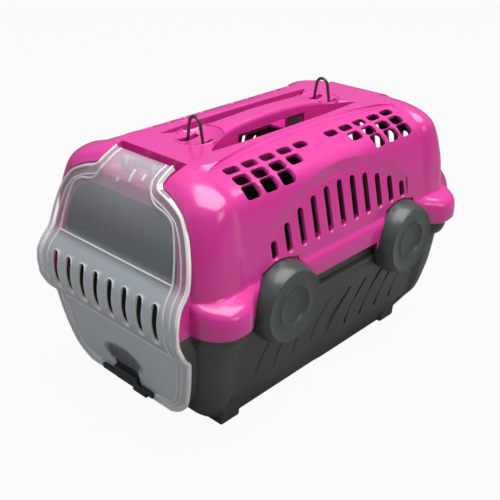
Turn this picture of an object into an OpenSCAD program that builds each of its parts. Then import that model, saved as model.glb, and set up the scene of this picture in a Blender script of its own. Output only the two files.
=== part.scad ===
// Pet keeper: a two-part moulded carrier for a cat or small dog, with a see-through
// front door, four round side clips, a carrying handle and two wire strap loops.
// Origin: centre of the footprint, on the floor. The door faces -Y and +Z is up.

/* [Body] */
// Width over the rim between the round clips
body_w = 220; // [200:1:260]
// Length over the rim, without the door
body_l = 370; // [350:1:420]
// Height from the floor to the flat top
body_h = 249; // [240:1:280]
// Height of the seam between the two shells
split_z = 127; // [122:0.5:132]
// Wall thickness of both shells
wall = 3; // [2.6:0.1:3.6]
// Height of the underside above the floor
base_z = 2.2; // [1.5:0.1:4]
// Height of the straight rim above the seam
rim_h = 27; // [24:0.5:30]
// How far the corner bumpers stand out sideways
bumper_out = 17; // [8:0.5:20]
// Length of a corner bumper along the carrier
bumper_l = 64; // [61:0.5:66]
// Distance from the rim's end to the crease where the shell's ends swell out
crease_in = 52; // [48:0.5:56]
// Gap between the two shells at the seam
seam_gap = 0.4; // [0.3:0.05:0.8]
// Height of the finger notch in the rim between the clips
notch_h = 8; // [5:0.5:9]
// Length of that finger notch
notch_l = 96; // [70:1:100]

/* [Side arch] */
// Number of slots in each side arch
arch_slots = 11; // [7:2:11]
// Distance between the side slots
arch_pitch = 19; // [17:0.25:19.5]
// Width of a side slot
arch_slot_w = 7.5; // [5:0.5:9]
// Distance from the head of the tallest side slot to the panel's upper edge
arch_slot_top = 4.5; // [3:0.25:9]
// Radius of the curve along the tops of the slots
arch_slot_r = 181; // [175:1:200]
// Radius of the raised slotted panel
panel_r = 196; // [190:1:210]
// Radius of the upper edge of the recess around the panel
recess_r = 156; // [150:1:165]

/* [Side grooves] */
// Number of slanted grooves on each side of the lower shell
side_grooves = 9; // [5:1:10]
// Distance between the side grooves
groove_pitch = 26; // [20:0.5:28]
// How far a side groove leans towards the rear at its head
groove_slant = 22; // [0:1:30]
// Height of the lower ends of the side grooves
groove_low = 44; // [40:1:50]
// Height of the upper ends of the side grooves
groove_high = 92; // [80:1:96]

/* [Roof vents] */
// Distance between vents along a row
vent_pitch = 22; // [21:0.25:23]
// Length of a vent
vent_l = 16.5; // [12:0.5:18]
// Vents at each end of the upper row
vent_n = 5; // [4:1:5]

/* [Handle] */
// Width of the grip at its middle
handle_w = 23; // [20:0.5:28]
// Half length of the finger hollows beside the grip
hollow_l = 102; // [90:1:104]
// Distance from the middle of the top to the outer edge of a hollow
hollow_x = 37; // [34:0.5:40]
// Depth of the finger hollows
hollow_d = 26; // [22:0.5:30]
// Thickness of the grip below the flat top
handle_t = 9; // [7:0.5:11]
// Rise of the grip above the flat top
handle_rise = 8; // [3:0.5:9]
// Length of the hand opening under the grip
hand_l = 94; // [85:1:110]

/* [Door] */
// Height of the middle of the door's belt
belt_z = 135; // [132:0.5:138]
// How far the belt stands out before the rim
belt_out = 19; // [17:0.5:22]
// Height of the door's lower edge
door_bottom = 29; // [26:0.5:32]
// Thickness of the door
door_t = 2.6; // [2.2:0.1:3]
// Gap between the closed door and its frame
door_gap = 0.6; // [0.4:0.1:1]
// Number of slots in the belt
door_slots = 8; // [6:2:8]
// Distance between the door's slots
door_pitch = 19.6; // [18:0.2:20.5]
// Width of a door slot
door_slot_w = 8.5; // [6:0.5:10]
// Height of a door slot
door_slot_h = 39; // [30:1:40]
// Width of the frame around the doorway
frame_w = 14; // [12:0.5:16]
// Height of the doorway's sill
sill_z = 38.5; // [37:0.5:39]
// Diameter of the hinge rod
rod_d = 4; // [3:0.25:5]
// Distance of the rod below the flat top
rod_drop = 9.5; // [9:0.25:11]

/* [Door latch] */
// Width of the latch's neck in the door's notch
neck_w = 33; // [26:1:36]
// Width of the outer bar
bar_w = 72; // [60:1:80]
// Width of the inner head
head_w = 56; // [46:1:60]
// Height of the inner head
head_h = 26; // [20:1:30]
// Travel of the latch, down to its locked place
latch_travel = 4; // [3:0.5:5]

/* [Round clips] */
// Radius of a clip where it meets the shells
clip_r = 38; // [35:0.5:38.5]
// Radius of a clip's front face
clip_face_r = 34.5; // [31:0.5:35]
// Radius of the dish in the face
dish_r = 20; // [16:0.5:24]
// How far a clip's face stands out from the rim's side
clip_out = 13.6; // [10:0.2:16]
// How far the clips' flat seats lie inside the rim's side
clip_seat_in = 6; // [5:0.25:7]
// Distance from the rim's end to a clip's centre
clip_from_end = 95.1; // [93:0.1:97]
// Wall thickness of a clip
clip_t = 2.4; // [2:0.1:2.8]
// Diameter of the clip pins
pin_d = 4; // [3:0.25:4.5]
// Length of the clip pins
pin_l = 17; // [15:0.5:20]

/* [Strap loops] */
// Diameter of the loop wire
wire_d = 3; // [2.4:0.2:3.4]
// Width of a loop between the middles of its legs
loop_w = 21; // [20:0.5:24]
// Height of a loop above the flat top
loop_h = 21.5; // [18:0.5:26]
// Radius of the bend at the top of a loop
loop_bend = 7; // [5:0.25:9]
// Distance from the rim's end to the loops
loop_from_end = 96; // [91:0.5:98]
// Depth of the round hollow at the foot of a loop
scoop_d = 3.8; // [2.5:0.1:4]
// Radius of that hollow
scoop_r = 18; // [15:0.5:20]
// Swing of a loop to each side, in degrees
loop_swing = 50; // [30:1:50]

/* [Feet] */
// Length of a foot along the carrier
foot_l = 24.6; // [18:0.2:30]
// Distance from the rim's end to a foot's outer end
foot_from_end = 46.6; // [43:0.2:55]
// Width of a foot's sole
foot_w = 19; // [15:0.5:24]
// Distance from the rim's side to a foot's outer side
foot_in = 30.8; // [28:0.2:36]

/* [Hidden] */
$fn = 16;

magenta = "#d4208f";
charcoal = "#3e403c";
wheel_grey = "#4a524f";
black = "#1c1c1e";
clear = "#c9d0d4";
steel = "#55504e";

end_y = body_l / 2;         // from the middle to the rim's end
half_w = body_w / 2;        // from the middle to the rim's side
bumper_from = end_y - bumper_l;
bumper_run = 31;            // length over which a bumper swells out
crease_run = 9;             // length over which the ends swell out
fit = 0.05;                 // radial clearance of a pin in its fixed hole
run = 0.08;                 // radial clearance of a pin in its turning hole
eps = 0.01;

rod_y = -end_y + 36;
rod_z = body_h - rod_drop;
rod_r = rod_d / 2;
rod_half = 27;              // half length of the hinge rod
ear_r = rod_r + 2.5;        // radius of the hinge ears and lugs
bay_half = 42;              // half width of the hollow that holds the hinge
bay_back = -end_y + 48;
bay_z = body_h - 19;        // floor of that hollow

clip_y = end_y - clip_from_end;
clip_face_x = half_w + clip_out;
seat_x = half_w - clip_seat_in;
clip_z = split_z;
pivot_x = seat_x + 7;       // clip pin, from the middle
pivot_up = 30.8;            // clip pin, above the clip's centre
pivot_z = clip_z + pivot_up;
seat_t = 6;                 // thickness of the shell behind a clip
pocket_r = clip_r + 1;
groove_clear = 10.3;        // room for the clip's upper edge as it turns
groove_half = 25;           // half length of that room
lug_r = pin_d / 2 + 1.6;
lug_w = 9.2;
catch_drop = 26;            // underside of the catch, below the clip's centre

loop_y = end_y - loop_from_end;
axle_z = body_h - 8;        // wire in its bearing
wire_r = wire_d / 2;
boss_w = loop_w - wire_d - 2;
boss_l = 22;
screw_gap = 14;             // between the two screws of a keeper
screw_r = 1.2;

notch_half = neck_w / 2 + 0.4;
notch_up = 24;              // height of the door's notch
panel_lean = 8.7;           // lean of the door's lower panel, in degrees
sill_half = half_w - 62;    // half length of the straight sill

foot_x = half_w - foot_in;
foot_y = end_y - foot_from_end;

// ---------------------------------------------------------------- helpers

// Moves every point of a path sideways by d, to the left of its direction
function turned(v) = [-v.y, v.x] / norm(v);
function shifted(path, d) = [
    for (i = [0 : len(path) - 1])
        path[i] + d * turned(path[min(i + 1, len(path) - 1)] - path[max(i - 1, 0)])
];
function mirrored(path) = [for (i = [len(path) - 1 : -1 : 0]) [-path[i].x, path[i].y]];
function smooth(t) = let (u = min(max(t, 0), 1)) u * u * (3 - 2 * u);

// Extrudes a shape drawn in (y, z) across the carrier, centred on the middle
module across(width) {
    translate([-width / 2, 0, 0])
        rotate([90, 0, 90])
            linear_extrude(width)
                children();
}

// Extrudes a shape drawn in (y, z) from x0 to x1
module sideways(x0, x1) {
    translate([x0, 0, 0])
        rotate([90, 0, 90])
            linear_extrude(x1 - x0)
                children();
}

// Extrudes a shape drawn in (x, z) from y0 to y1
module lengthways(y0, y1) {
    translate([0, y1, 0])
        rotate([90, 0, 0])
            linear_extrude(y1 - y0)
                children();
}

// A box given by its two corners
module block(low, high) {
    translate(low)
        cube(high - low);
}

module both_sides() {
    children();
    mirror([1, 0, 0])
        children();
}

module both_ends() {
    children();
    mirror([0, 1, 0])
        children();
}

// A flat slot with round ends, from low to high
module slot_2d(low, high, width) {
    r = width / 2;
    translate([-r, low + r])
        square([width, high - low - width]);
    translate([0, low + r])
        circle(r);
    translate([0, high - r])
        circle(r);
}

// The same slot as one smooth hull, for the moulded walls of the shells
module moulded_slot_2d(low, high, width) {
    r = width / 2;
    hull()
        for (y = [low + r, high - r])
            translate([0, y])
                circle(r, $fn = 10);
}

// A flat rectangle with rounded corners, centred
module rounded_2d(size, r) {
    square([size.x - 2 * r, size.y], center = true);
    square([size.x, size.y - 2 * r], center = true);
    for (x = [-1, 1], y = [-1, 1])
        translate([x * (size.x / 2 - r), y * (size.y / 2 - r)])
            circle(r, $fn = 4);
}

// ---------------------------------------------------------------- body form

// Each row is a level of the body: height, how much narrower on each side and
// shorter at each end than the rim, corner radius, share of the bumper, and how
// much wider its ends are beyond the crease
lower_form = [
    [base_z, 35, 47, 18, 0, 0],
    [10, 32, 36.5, 19, 0, 0],
    [22, 29, 26, 20, 0, 0],
    [35, 22.5, 20, 22, 0, 0],
    [66, 16.5, 12, 24, 0, 0],
    [split_z - 27, 10.5, 6, 26, 0, 0],
    [split_z - 16, 8.5, 4, 27, 0.08, 0],
    [split_z - 13, 7.5, 4, 27, 0.7, 0],
    [split_z - 6, 5.5, 4, 27, 0.8, 0],
    [split_z + notch_h + 3, 4.5, 4, 27, 0.8, 0]
];
upper_form = [
    [split_z, 0.6, 0.6, 27.4, 0.88, 0],
    [split_z + 4, 0, 0, 28, 0.97, 0],
    [split_z + rim_h - 8, 0, 0, 28, 0.88, 0],
    [split_z + rim_h - 2, 0.6, 0.2, 28, 0.6, 0.5],
    [split_z + rim_h + 4, 3, 0.8, 28, 0.22, 1],
    [split_z + rim_h + 12, 5.5, 1.4, 27, 0, 1.5],
    [body_h - 55, 9.5, 5, 26, 0, 3],
    [body_h - 34.5, 13, 9.5, 26, 0, 3],
    [body_h - 26, 15.3, 12.5, 26, 0, 3.5],
    [body_h - 19.5, 18.5, 15.5, 26, 0, 4],
    [body_h - 12, 28.5, 20.5, 25, 0, 5],
    [body_h - 7, 40.5, 26.5, 24, 0, 6],
    [body_h - 3.5, 50.5, 34.5, 22, 0, 5],
    [body_h, 55.5, 46, 18, 0, 2]
];

// A quarter of a level's outline, from the middle of the side to the end
function quarter(hw, hl, r, out, swell) = let (
    straight = [for (y = [0, bumper_from, end_y - crease_in, end_y - crease_in + crease_run])
        [hw, min(y, (hl - r) * (y == 0 ? 0 : 0.9 + 0.1 * y / end_y))]],
    corner = [for (a = [0 : 18 : 90]) [hw - r + r * cos(a), hl - r + r * sin(a)]]
) [
    for (p = concat(straight, corner))
        [p.x * (1 + out / hw * smooth((p.y - bumper_from) / bumper_run)
                + swell / hw * smooth((p.y - end_y + crease_in) / crease_run)), p.y]
];

function outline(row, inset) = let (
    hw = half_w - row[1] - inset,
    hl = end_y - row[2] - inset,
    q = quarter(hw, hl, row[3] - inset, row[4] * bumper_out, row[5]),
    n = len(q) - 1
) concat(
    q,
    [[0, hl]],
    [for (i = [n : -1 : 0]) [-q[i].x, q[i].y]],
    [for (i = [1 : n]) [-q[i].x, -q[i].y]],
    [[0, -hl]],
    [for (i = [n : -1 : 1]) [q[i].x, -q[i].y]]
);

function split_quad(q) = q[1] == q[2] ? [[q[0], q[1], q[3]]] : q[0] == q[3] ? [[q[0], q[1], q[2]]]
    : [[q[0], q[1], q[2]], [q[0], q[2], q[3]]];

// A solid skinned over the levels, drawn in by inset and moved up by lift
module skinned(form, inset = 0, lift = 0) {
    rings = [for (row = form) outline(row, inset)];
    n = len(rings[0]);
    top = len(form) - 1;
    points = [for (k = [0 : top], p = rings[k]) [p.x, p.y, form[k][0] + lift]];
    sides = [
        for (k = [0 : top - 1], i = [0 : n - 1], half = [0, 1])
            let (a = k * n + i, b = k * n + (i + 1) % n)
                half == 0 ? [a, a + n, b + n] : [a, b + n, b]
    ];
    // flat ends, as strips between each point and its mirror point
    ends = [
        for (i = [0 : n / 4 - 1], half = [0, 1])
            let (j = half == 0 ? i : (n - i - 1) % n, k = (j + 1) % n, far = n / 2 + n)
                [j, k, (far - k) % n, (far - j) % n]
    ];
    floor_faces = [for (e = ends, f = split_quad(e)) f];
    top_faces = [for (f = floor_faces) [for (i = [2 : -1 : 0]) f[i] + top * n]];
    polyhedron(points, concat(floor_faces, sides, top_faces));
}

// ---------------------------------------------------------------- door form

// Height of a place on the door's window (0 at the belt's middle, 1 at the flat top)
// and on its lower panel (0 at the belt's middle, 1 at the lower edge)
function window_z(t) = belt_z + t * (body_h - belt_z);
function panel_z(t) = belt_z + t * (door_bottom - belt_z);

// How far the door's lower edge stands before the rim's end
panel_in = -6.2;

// Side view of the door's outer face, from the hinge tab down: how far it stands
// before the rim's end, and its height
face_path = [
    [-37, body_h - 1], [-31, body_h - 3], [-24.2, body_h - 6.6], [-19, body_h - 10.4],
    [-15.5, body_h - 15], [-12, window_z(0.775)], [-7, window_z(0.632)], [-1.6, window_z(0.447)],
    [3, window_z(0.307)], [5.9, window_z(0.268)], [belt_out - 8, window_z(0.219)],
    [belt_out - 4.2, window_z(0.167)], [belt_out - 1, window_z(0.088)], [belt_out, belt_z],
    [belt_out - 1, panel_z(0.094)], [belt_out - 4.5, panel_z(0.184)], [belt_out - 9, panel_z(0.264)],
    [3.5, panel_z(0.34)], [2.1, panel_z(0.457)], [-0.1, panel_z(0.623)], [panel_in, door_bottom]
];
face = [for (p = face_path) [-end_y - p.x, p.y]];

// Front view of one half of the door's edge, from the top down: how far it lies
// inside the rim's side, and its height
edge_half = [
    for (p = [
        [72.3, body_h], [70.6, body_h - 10.4], [67, body_h - 13], [57.7, body_h - 15.6],
        [46.6, window_z(0.825)], [37, window_z(0.775)], [30, window_z(0.697)],
        [25.8, window_z(0.632)], [21.8, window_z(0.535)], [18.9, window_z(0.447)],
        [16.6, window_z(0.339)], [15.4, window_z(0.219)], [13, window_z(0.053)],
        [13.1, panel_z(0.17)], [16.7, panel_z(0.343)], [18.5, panel_z(0.457)],
        [22.4, panel_z(0.623)], [31.1, door_bottom + 16], [42, door_bottom + 5], [52, door_bottom]
    ]) [half_w - p.x, p.y]
];

// The door's edge as a flat shape in (x, z), drawn in by inset
module edge_2d(inset) {
    half = shifted(edge_half, -inset);
    polygon(concat(half, mirrored(half)));
}

// Everything behind the door's outer face, moved back by depth
module behind_face(depth) {
    path = shifted(face, depth);
    back = -end_y + 70;
    low = path[len(path) - 1];
    below = 20;
    across(body_w + 20)
        polygon(concat(
            [[back, body_h - 1 - depth]], path,
            [[low.x + below * tan(panel_lean), low.y - below], [back, low.y - below]]
        ));
}

// How far the frames' edge lies inside the door's edge
frame_in = 4;

// The frame that the door closes on, as a solid block
module frame_block(inset, depth) {
    intersection() {
        behind_face(depth);
        lengthways(-end_y - 40, -end_y + 60)
            edge_2d(inset);
    }
}

// The frame around the doorway, and its closed twin at the rear
module end_frames() {
    both_ends()
        frame_block(frame_in, 0);
}

// The opening of the doorway in (x, z)
module doorway_2d() {
    intersection() {
        edge_2d(frame_w + 3);
        translate([-half_w, sill_z])
            square([body_w, body_h - 30 - sill_z]);
    }
    translate([-sill_half, sill_z])
        square([2 * sill_half, 20]);
}

// Room for the closed door in the shells' ends
module door_room() {
    difference() {
        lengthways(-end_y - 40, rod_y + 1)
            edge_2d(-1);
        behind_face(door_t + door_gap);
    }
}

// ---------------------------------------------------------------- side arch

arch_half = end_y - 81;      // half length of the whole arch
panel_low = split_z + 40.5; // lower ends of the side slots
panel_in_x = 5.8;           // panel's lower edge, inside the rim's side
panel_top = body_h - 34;
recess_top = body_h - 21;

// Everything outside the leaning plane of the slotted panel, moved out by shift
module beyond_panel(shift) {
    reach = body_l;
    translate([half_w - panel_in_x + shift, 0, panel_low])
        rotate([0, -12.7, 0])
            block([0, -reach, -reach / 4], [60, reach, reach]);
}

// Everything outside the upright wall of the recess, moved out by shift: the wall
// rises to the shell's surface along the recess's upper edge
module beyond_recess(shift) {
    far = half_w + 20;
    wall_line = [
        for (t = [-1.05 : 0.15 : 1.05])
            let (y = t * arch_half,
                 z = recess_top - recess_r + sqrt(recess_r * recess_r - y * y),
                 inset = lookup(z, [for (row = upper_form) [row[0], row[1]]]))
                [half_w - inset + shift, y]
    ];
    translate([0, 0, split_z])
        linear_extrude(body_h)
            polygon(concat(wall_line, [[far, 1.05 * arch_half], [far, -1.05 * arch_half]]));
}

// An arch in (y, z): a round top of radius r, cut off above the rim, and grown
// all round by grow
module arch_2d(r, top, grow = 0) {
    intersection() {
        translate([0, top - r])
            circle(r + grow, $fn = 48);
        translate([-arch_half - grow, split_z + rim_h + 7 - grow])
            square([2 * (arch_half + grow), 100]);
    }
}

// A shape in (y, z) extruded through one side wall, longer by grow at both ends
module arch_bar(grow) {
    sideways(half_w - 40 - grow, half_w + 10 + grow)
        children();
}

// The outer surface taken off around and over the slotted panel
module arch_cut() {
    difference() {
        intersection() {
            arch_bar(0)
                arch_2d(recess_r, recess_top);
            beyond_recess(0);
        }
        difference() {
            arch_bar(1)
                arch_2d(panel_r, panel_top);
            beyond_panel(0);
        }
    }
}

// The solid left behind the recess and the panel
module arch_backing() {
    difference() {
        intersection() {
            arch_bar(0)
                arch_2d(recess_r, recess_top, wall);
            beyond_recess(-wall);
        }
        difference() {
            arch_bar(1)
                arch_2d(panel_r, panel_top, -wall);
            beyond_panel(-wall);
        }
    }
}

module arch_slots_cut() {
    for (k = [-(arch_slots - 1) / 2 : (arch_slots - 1) / 2]) {
        y = k * arch_pitch;
        drop = arch_slot_r - sqrt(arch_slot_r * arch_slot_r - y * y);
        arch_bar(2)
            translate([y, 0])
                moulded_slot_2d(panel_low, panel_top - arch_slot_top - drop, arch_slot_w);
    }
}

// ---------------------------------------------------------------- roof vents

// Each row of vents: distance from the middle, drop below the top, slope of the
// roof there, width of a vent down the slope, and columns left out at the middle
vent_rows = [
    [half_w - 44.2, 5.4, 22, 8, 0],
    [half_w - 32, 10.4, 29, 10, 1],
    [half_w - 20.7, 18, 41, 13, 2]
];

module vents_cut() {
    for (row = vent_rows, k = [row[4] : vent_n - 1])
        both_ends()
            translate([row[0], vent_pitch * (k + 1), body_h - row[1]])
                rotate([0, row[2], 0])
                    translate([0, 0, -12])
                        linear_extrude(24)
                            rounded_2d([row[3], vent_l], 3);
}

// ---------------------------------------------------------------- handle

function grip_edge(y) = handle_w / 2
    + (hollow_x - 3 - handle_w / 2) * pow(abs(y) / hollow_l, 4);

// Plan of the finger hollow on the +x side
module hollow_2d(grow = 0) {
    ys = [for (t = [-1 : 0.1 : 1]) t * hollow_l];
    inner = [for (y = ys) [grip_edge(y) - grow, y * (1 + grow / hollow_l)]];
    outer = [[hollow_x - 3 + grow, hollow_l + grow], [hollow_x + grow, 60],
             [hollow_x + grow, -60], [hollow_x - 3 + grow, -hollow_l - grow]];
    polygon(concat(inner, outer));
}

// Plan of the grip
module grip_2d() {
    ys = [for (t = [-1 : 0.1 : 1]) t * hollow_l];
    side = [for (y = ys) [grip_edge(y), y]];
    polygon(concat(side, [for (i = [len(side) - 1 : -1 : 0]) [-side[i].x, side[i].y]]));
}

module grip() {
    top = [for (t = [-1 : 0.1 : 1]) [t * hollow_l, body_h + handle_rise * (1 - t * t)]];
    under = body_h - handle_t;
    intersection() {
        translate([0, 0, under])
            linear_extrude(handle_t + handle_rise + 1)
                grip_2d();
        across(100)
            polygon(concat([[-hollow_l, under]], top, [[hollow_l, under]]));
    }
}

// The hand opening under the grip, from hollow to hollow and down into the cabin
module hand_opening() {
    block([-hollow_x + 4, -hand_l / 2, body_h - hollow_d - wall - 1],
          [hollow_x - 4, hand_l / 2, body_h - handle_t]);
}

// The sloping facet along each edge of the flat top, widest at the middle
module top_facet_cut() {
    half = end_y - 55;
    ridge = [for (t = [-1 : 0.1 : 1]) [hollow_x + 4 + 18 * t * t, t * half]];
    intersection() {
        translate([0, 0, body_h - 15])
            linear_extrude(30)
                polygon(concat(ridge, [[half_w - 20, half], [half_w - 20, -half]]));
        translate([hollow_x + 4, 0, body_h])
            rotate([0, 13, 0])
                block([-30, -end_y, 0], [60, end_y, 30]);
    }
}

// ---------------------------------------------------------------- strap loops

module scoop_cut() {
    ball_r = (scoop_r * scoop_r + scoop_d * scoop_d) / (2 * scoop_d);
    translate([0, loop_y, body_h - scoop_d + ball_r])
        sphere(ball_r, $fn = 24);
}

// Slots through which the legs of a loop pass
module leg_slots_cut() {
    reach = (body_h - axle_z) * tan(loop_swing) + wire_r / cos(loop_swing) + 0.6;
    lean = (body_h - axle_z) * tan(leg_lean);
    for (x = [-1, 1])
        translate([x * (loop_w - lean) / 2, loop_y, body_h - 12])
            linear_extrude(20)
                rounded_2d([wire_d + 1.2 + lean, 2 * reach], wire_r);
}

// The seat for a loop's keeper, in the underside of the roof
module keeper_seat_cut() {
    block([-boss_w / 2 - 0.3, loop_y - boss_l / 2 - 0.3, keeper_low - 1],
          [boss_w / 2 + 0.3, loop_y + boss_l / 2 + 0.3, axle_z + 0.1]);
}

module axle_cut() {
    translate([-boss_w / 2 - 1, loop_y, axle_z])
        rotate([0, 90, 0])
            cylinder(r = wire_r + run, h = boss_w + 2);
}

module screw_holes(r, low, high) {
    for (y = [-1, 1])
        translate([0, loop_y + y * screw_gap / 2, low])
            cylinder(r = r, h = high - low);
}

screw_tip = body_h - scoop_d - 2;
keeper_t = 4.4;
keeper_low = axle_z - 0.1 - keeper_t;

// The legs lean in from the bearing and run on into the round bend
bend_z = body_h + loop_h - wire_r - loop_bend;
leg_rise = bend_z - axle_z;
leg_lean = atan(loop_w / 2 / leg_rise) - asin(loop_bend / norm([loop_w / 2, leg_rise]));
leg_l = (leg_rise + loop_bend * sin(leg_lean)) / cos(leg_lean);

module wire_loop() {
    translate([0, loop_y, 0]) {
        both_sides() {
            translate([loop_w / 2, 0, axle_z]) {
                rotate([0, -leg_lean, 0])
                    cylinder(r = wire_r, h = leg_l);
                sphere(wire_r);
            }
        }
        translate([0, 0, bend_z])
            rotate([90, 0, 0])
                rotate([0, 0, leg_lean])
                    rotate_extrude(angle = 180 - 2 * leg_lean)
                        translate([loop_bend, 0])
                            circle(wire_r);
        translate([-loop_w / 2, 0, axle_z])
            rotate([0, 90, 0])
                cylinder(r = wire_r, h = loop_w);
    }
}

module loop_keeper() {
    difference() {
        block([-boss_w / 2, loop_y - boss_l / 2, keeper_low],
              [boss_w / 2, loop_y + boss_l / 2, axle_z - 0.1]);
        axle_cut();
        screw_holes(screw_r + fit, keeper_low - 1, axle_z + 1);
    }
}

module keeper_screws() {
    head_h = 1.8;
    screw_holes(screw_r, keeper_low - 0.5, screw_tip - 0.5);
    screw_holes(2.4, keeper_low - head_h, keeper_low);
}

// ---------------------------------------------------------------- round clips

module at_clip(right, front) {
    mirror([right ? 0 : 1, 0, 0])
        mirror([0, front ? 1 : 0, 0])
            children();
}

// A round bar along +x from x0 to x1, on a clip's centre line
module clip_disc(r, x0, x1) {
    translate([x0, clip_y, clip_z])
        rotate([0, 90, 0])
            cylinder(r = r, h = x1 - x0, $fn = 40);
}

// A round bar along y, on a clip's pin line
module pin_bar(r, half) {
    translate([pivot_x, clip_y + half, pivot_z])
        rotate([90, 0, 0])
            cylinder(r = r, h = 2 * half);
}

// Removed from both shells: the round pocket and the groove for the clip's edge
module clip_pocket() {
    clip_disc(pocket_r, seat_x, seat_x + 60);
    pin_bar(groove_clear, groove_half);
}

module clip_seat() {
    clip_disc(pocket_r, seat_x - seat_t, seat_x);
}

// The lug on the upper shell that carries a clip's pin
module clip_lug() {
    difference() {
        union() {
            pin_bar(lug_r, lug_w / 2);
            block([pivot_x - lug_r, clip_y - lug_w / 2, pivot_z - 12],
                  [pivot_x + 1, clip_y + lug_w / 2, pivot_z]);
            block([seat_x - 1, clip_y - lug_w / 2, pivot_z - 12],
                  [pivot_x - lug_r + eps, clip_y + lug_w / 2, pivot_z - 7.4]);
        }
        pin_bar(pin_d / 2 + fit, lug_w);
    }
}

// The catch on the lower shell that the clip's hook closes under
module clip_catch() {
    block([seat_x - 6.5, clip_y - 8, clip_z - catch_drop],
          [seat_x + 4.5, clip_y + 8, clip_z - catch_drop + 3.6]);
}

// Half section of a clip: distance along x, radius
clip_back = seat_x + 0.5;
clip_skin = [
    [clip_back, clip_r], [clip_back + 6, clip_r - 0.2], [clip_face_x - 7, clip_r - 1.2],
    [clip_face_x - 3.4, clip_face_r + 0.2], [clip_face_x - 1.2, clip_face_r - 2.2],
    [clip_face_x, clip_face_r - 5]
];

module clip_body() {
    face_in = clip_face_x - clip_t;
    dish_d = 4.5;
    dish_ball = (dish_r * dish_r + dish_d * dish_d) / (2 * dish_d);
    difference() {
        union() {
            difference() {
                turned_clip(concat(clip_skin, [[clip_face_x, 0], [clip_back, 0]]));
                turned_clip([
                    [clip_back - 1, clip_r - clip_t], [clip_face_x - 7, clip_r - clip_t - 1],
                    [face_in - 2.5, clip_face_r - clip_t - 1], [face_in, clip_face_r - clip_t - 5],
                    [face_in, dish_r + 1], [face_in - dish_d, dish_r - 6], [face_in - dish_d, 0],
                    [clip_back - 1, 0]
                ]);
            }
            // ears on the pin
            for (y = [-1, 1])
                translate([0, y * (lug_w / 2 + 2), 0]) {
                    pin_bar(lug_r, 1.6);
                    intersection() {
                        block([pivot_x - 3, clip_y - 1.6, pivot_z], [pivot_x + 3, clip_y + 1.6, pivot_z + 7]);
                        clip_disc(clip_r - 1, clip_back, clip_face_x);
                    }
                }
            // hook under the catch of the lower shell
            block([seat_x + 2, clip_y - 7, clip_z - catch_drop - 3],
                  [face_in + 0.5, clip_y + 7, clip_z - catch_drop - 0.4]);
        }
        translate([clip_face_x - dish_d + dish_ball, clip_y, clip_z])
            sphere(dish_ball, $fn = 120);
        pin_bar(pin_d / 2 + run, lug_w);
    }
}

module turned_clip(section) {
    translate([0, clip_y, clip_z])
        rotate([0, 90, 0])
            rotate_extrude($fn = 120)
                polygon([for (p = section) [p.y, p.x]]);
}

module clip_pin() {
    pin_bar(pin_d / 2, pin_l / 2);
}

// ---------------------------------------------------------------- shells

module lower_shell() color(charcoal) {
    difference() {
        union() {
            skinned(lower_form);
            intersection() {
                end_frames();
                block([-half_w, -body_l, 0], [half_w, body_l, split_z - seam_gap]);
            }
            both_ends()
                both_sides()
                    foot();
        }
        difference() {
            skinned(lower_form, wall, wall);
            both_ends()
                both_sides()
                    clip_seat();
        }
        doorway_cut();
        door_room();
        rear_hollow();
        both_ends()
            both_sides() {
                clip_pocket();
                upstand_gap();
            }
        latch_socket();
        both_sides()
            side_grooves_cut();
    }
    both_ends()
        both_sides()
            clip_catch();
}

// Slanted grooves pressed into each side of the lower shell
module side_grooves_cut() {
    for (k = [0 : side_grooves - 1])
        for (part = [0, 1])
            hull()
                for (t = part == 0 ? [0, 0.5] : [0.5, 1])
                    groove_bead(k, t);
}

// A bead on a groove's centre line, from its foot (t = 0) to its head (t = 1)
module groove_bead(k, t) {
    z = groove_low + t * (groove_high - groove_low);
    y = (k - (side_grooves - 1) / 2) * groove_pitch + groove_slant * t * t;
    inset = lookup(z, [for (row = lower_form) [row[0], row[1]]]);
    translate([half_w - inset + 1.6, y, z])
        sphere(2.4, $fn = 8);
}

// Room in the lower shell's upstand for the seat behind a clip
module upstand_gap() {
    block([seat_x - 20, clip_y - pocket_r - 1, split_z - seam_gap],
          [half_w, clip_y + pocket_r + 1, body_h]);
}

module foot() {
    translate([0, foot_y - foot_l, 0])
        mirror([0, 1, 0])
            lengthways(-foot_l, 0)
                polygon([[foot_x - foot_w - 5, 14], [foot_x - foot_w, 0], [foot_x, 0], [foot_x + 2, 24]]);
}

module doorway_cut() {
    lengthways(-end_y - 40, -end_y + 40)
        doorway_2d();
}

// The rear frame is closed: it is hollowed from inside and keeps a wall
module rear_hollow() {
    mirror([0, 1, 0])
        frame_block(frame_in + wall, wall);
}

module upper_shell() color(magenta) {
    difference() {
        union() {
            skinned(upper_form);
            intersection() {
                end_frames();
                block([-half_w, -body_l, split_z], [half_w, body_l, body_h]);
            }
            grip();
        }
        difference() {
            union() {
                skinned(upper_cavity_form(), wall);
                rear_hollow();
            }
            upper_inside();
        }
        doorway_cut();
        door_room();
        hinge_bay_cut();
        both_sides()
            top_facet_cut();
        hollows_cut();
        hand_opening();
        both_sides() {
            arch_cut();
            arch_slots_cut();
            vents_cut();
            rim_notch();
        }
        both_ends() {
            scoop_cut();
            leg_slots_cut();
            axle_cut();
            keeper_seat_cut();
            screw_holes(screw_r + fit, axle_z - 1, screw_tip);
            both_sides()
                clip_pocket();
        }
        rear_slots_cut();
    }
    both_ends()
        both_sides()
            clip_lug();
    hinge_lugs();
}

// The hollow of the upper shell: from the roof's first level up it is lower by a wall
roof_from = 6;
function upper_cavity_form() = [
    for (i = [0 : len(upper_form) - 1])
        let (row = upper_form[i])
            [row[0] - (i == 0 ? 1 : i > roof_from ? wall : 0), row[1], row[2], row[3], row[4], row[5]]
];

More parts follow.
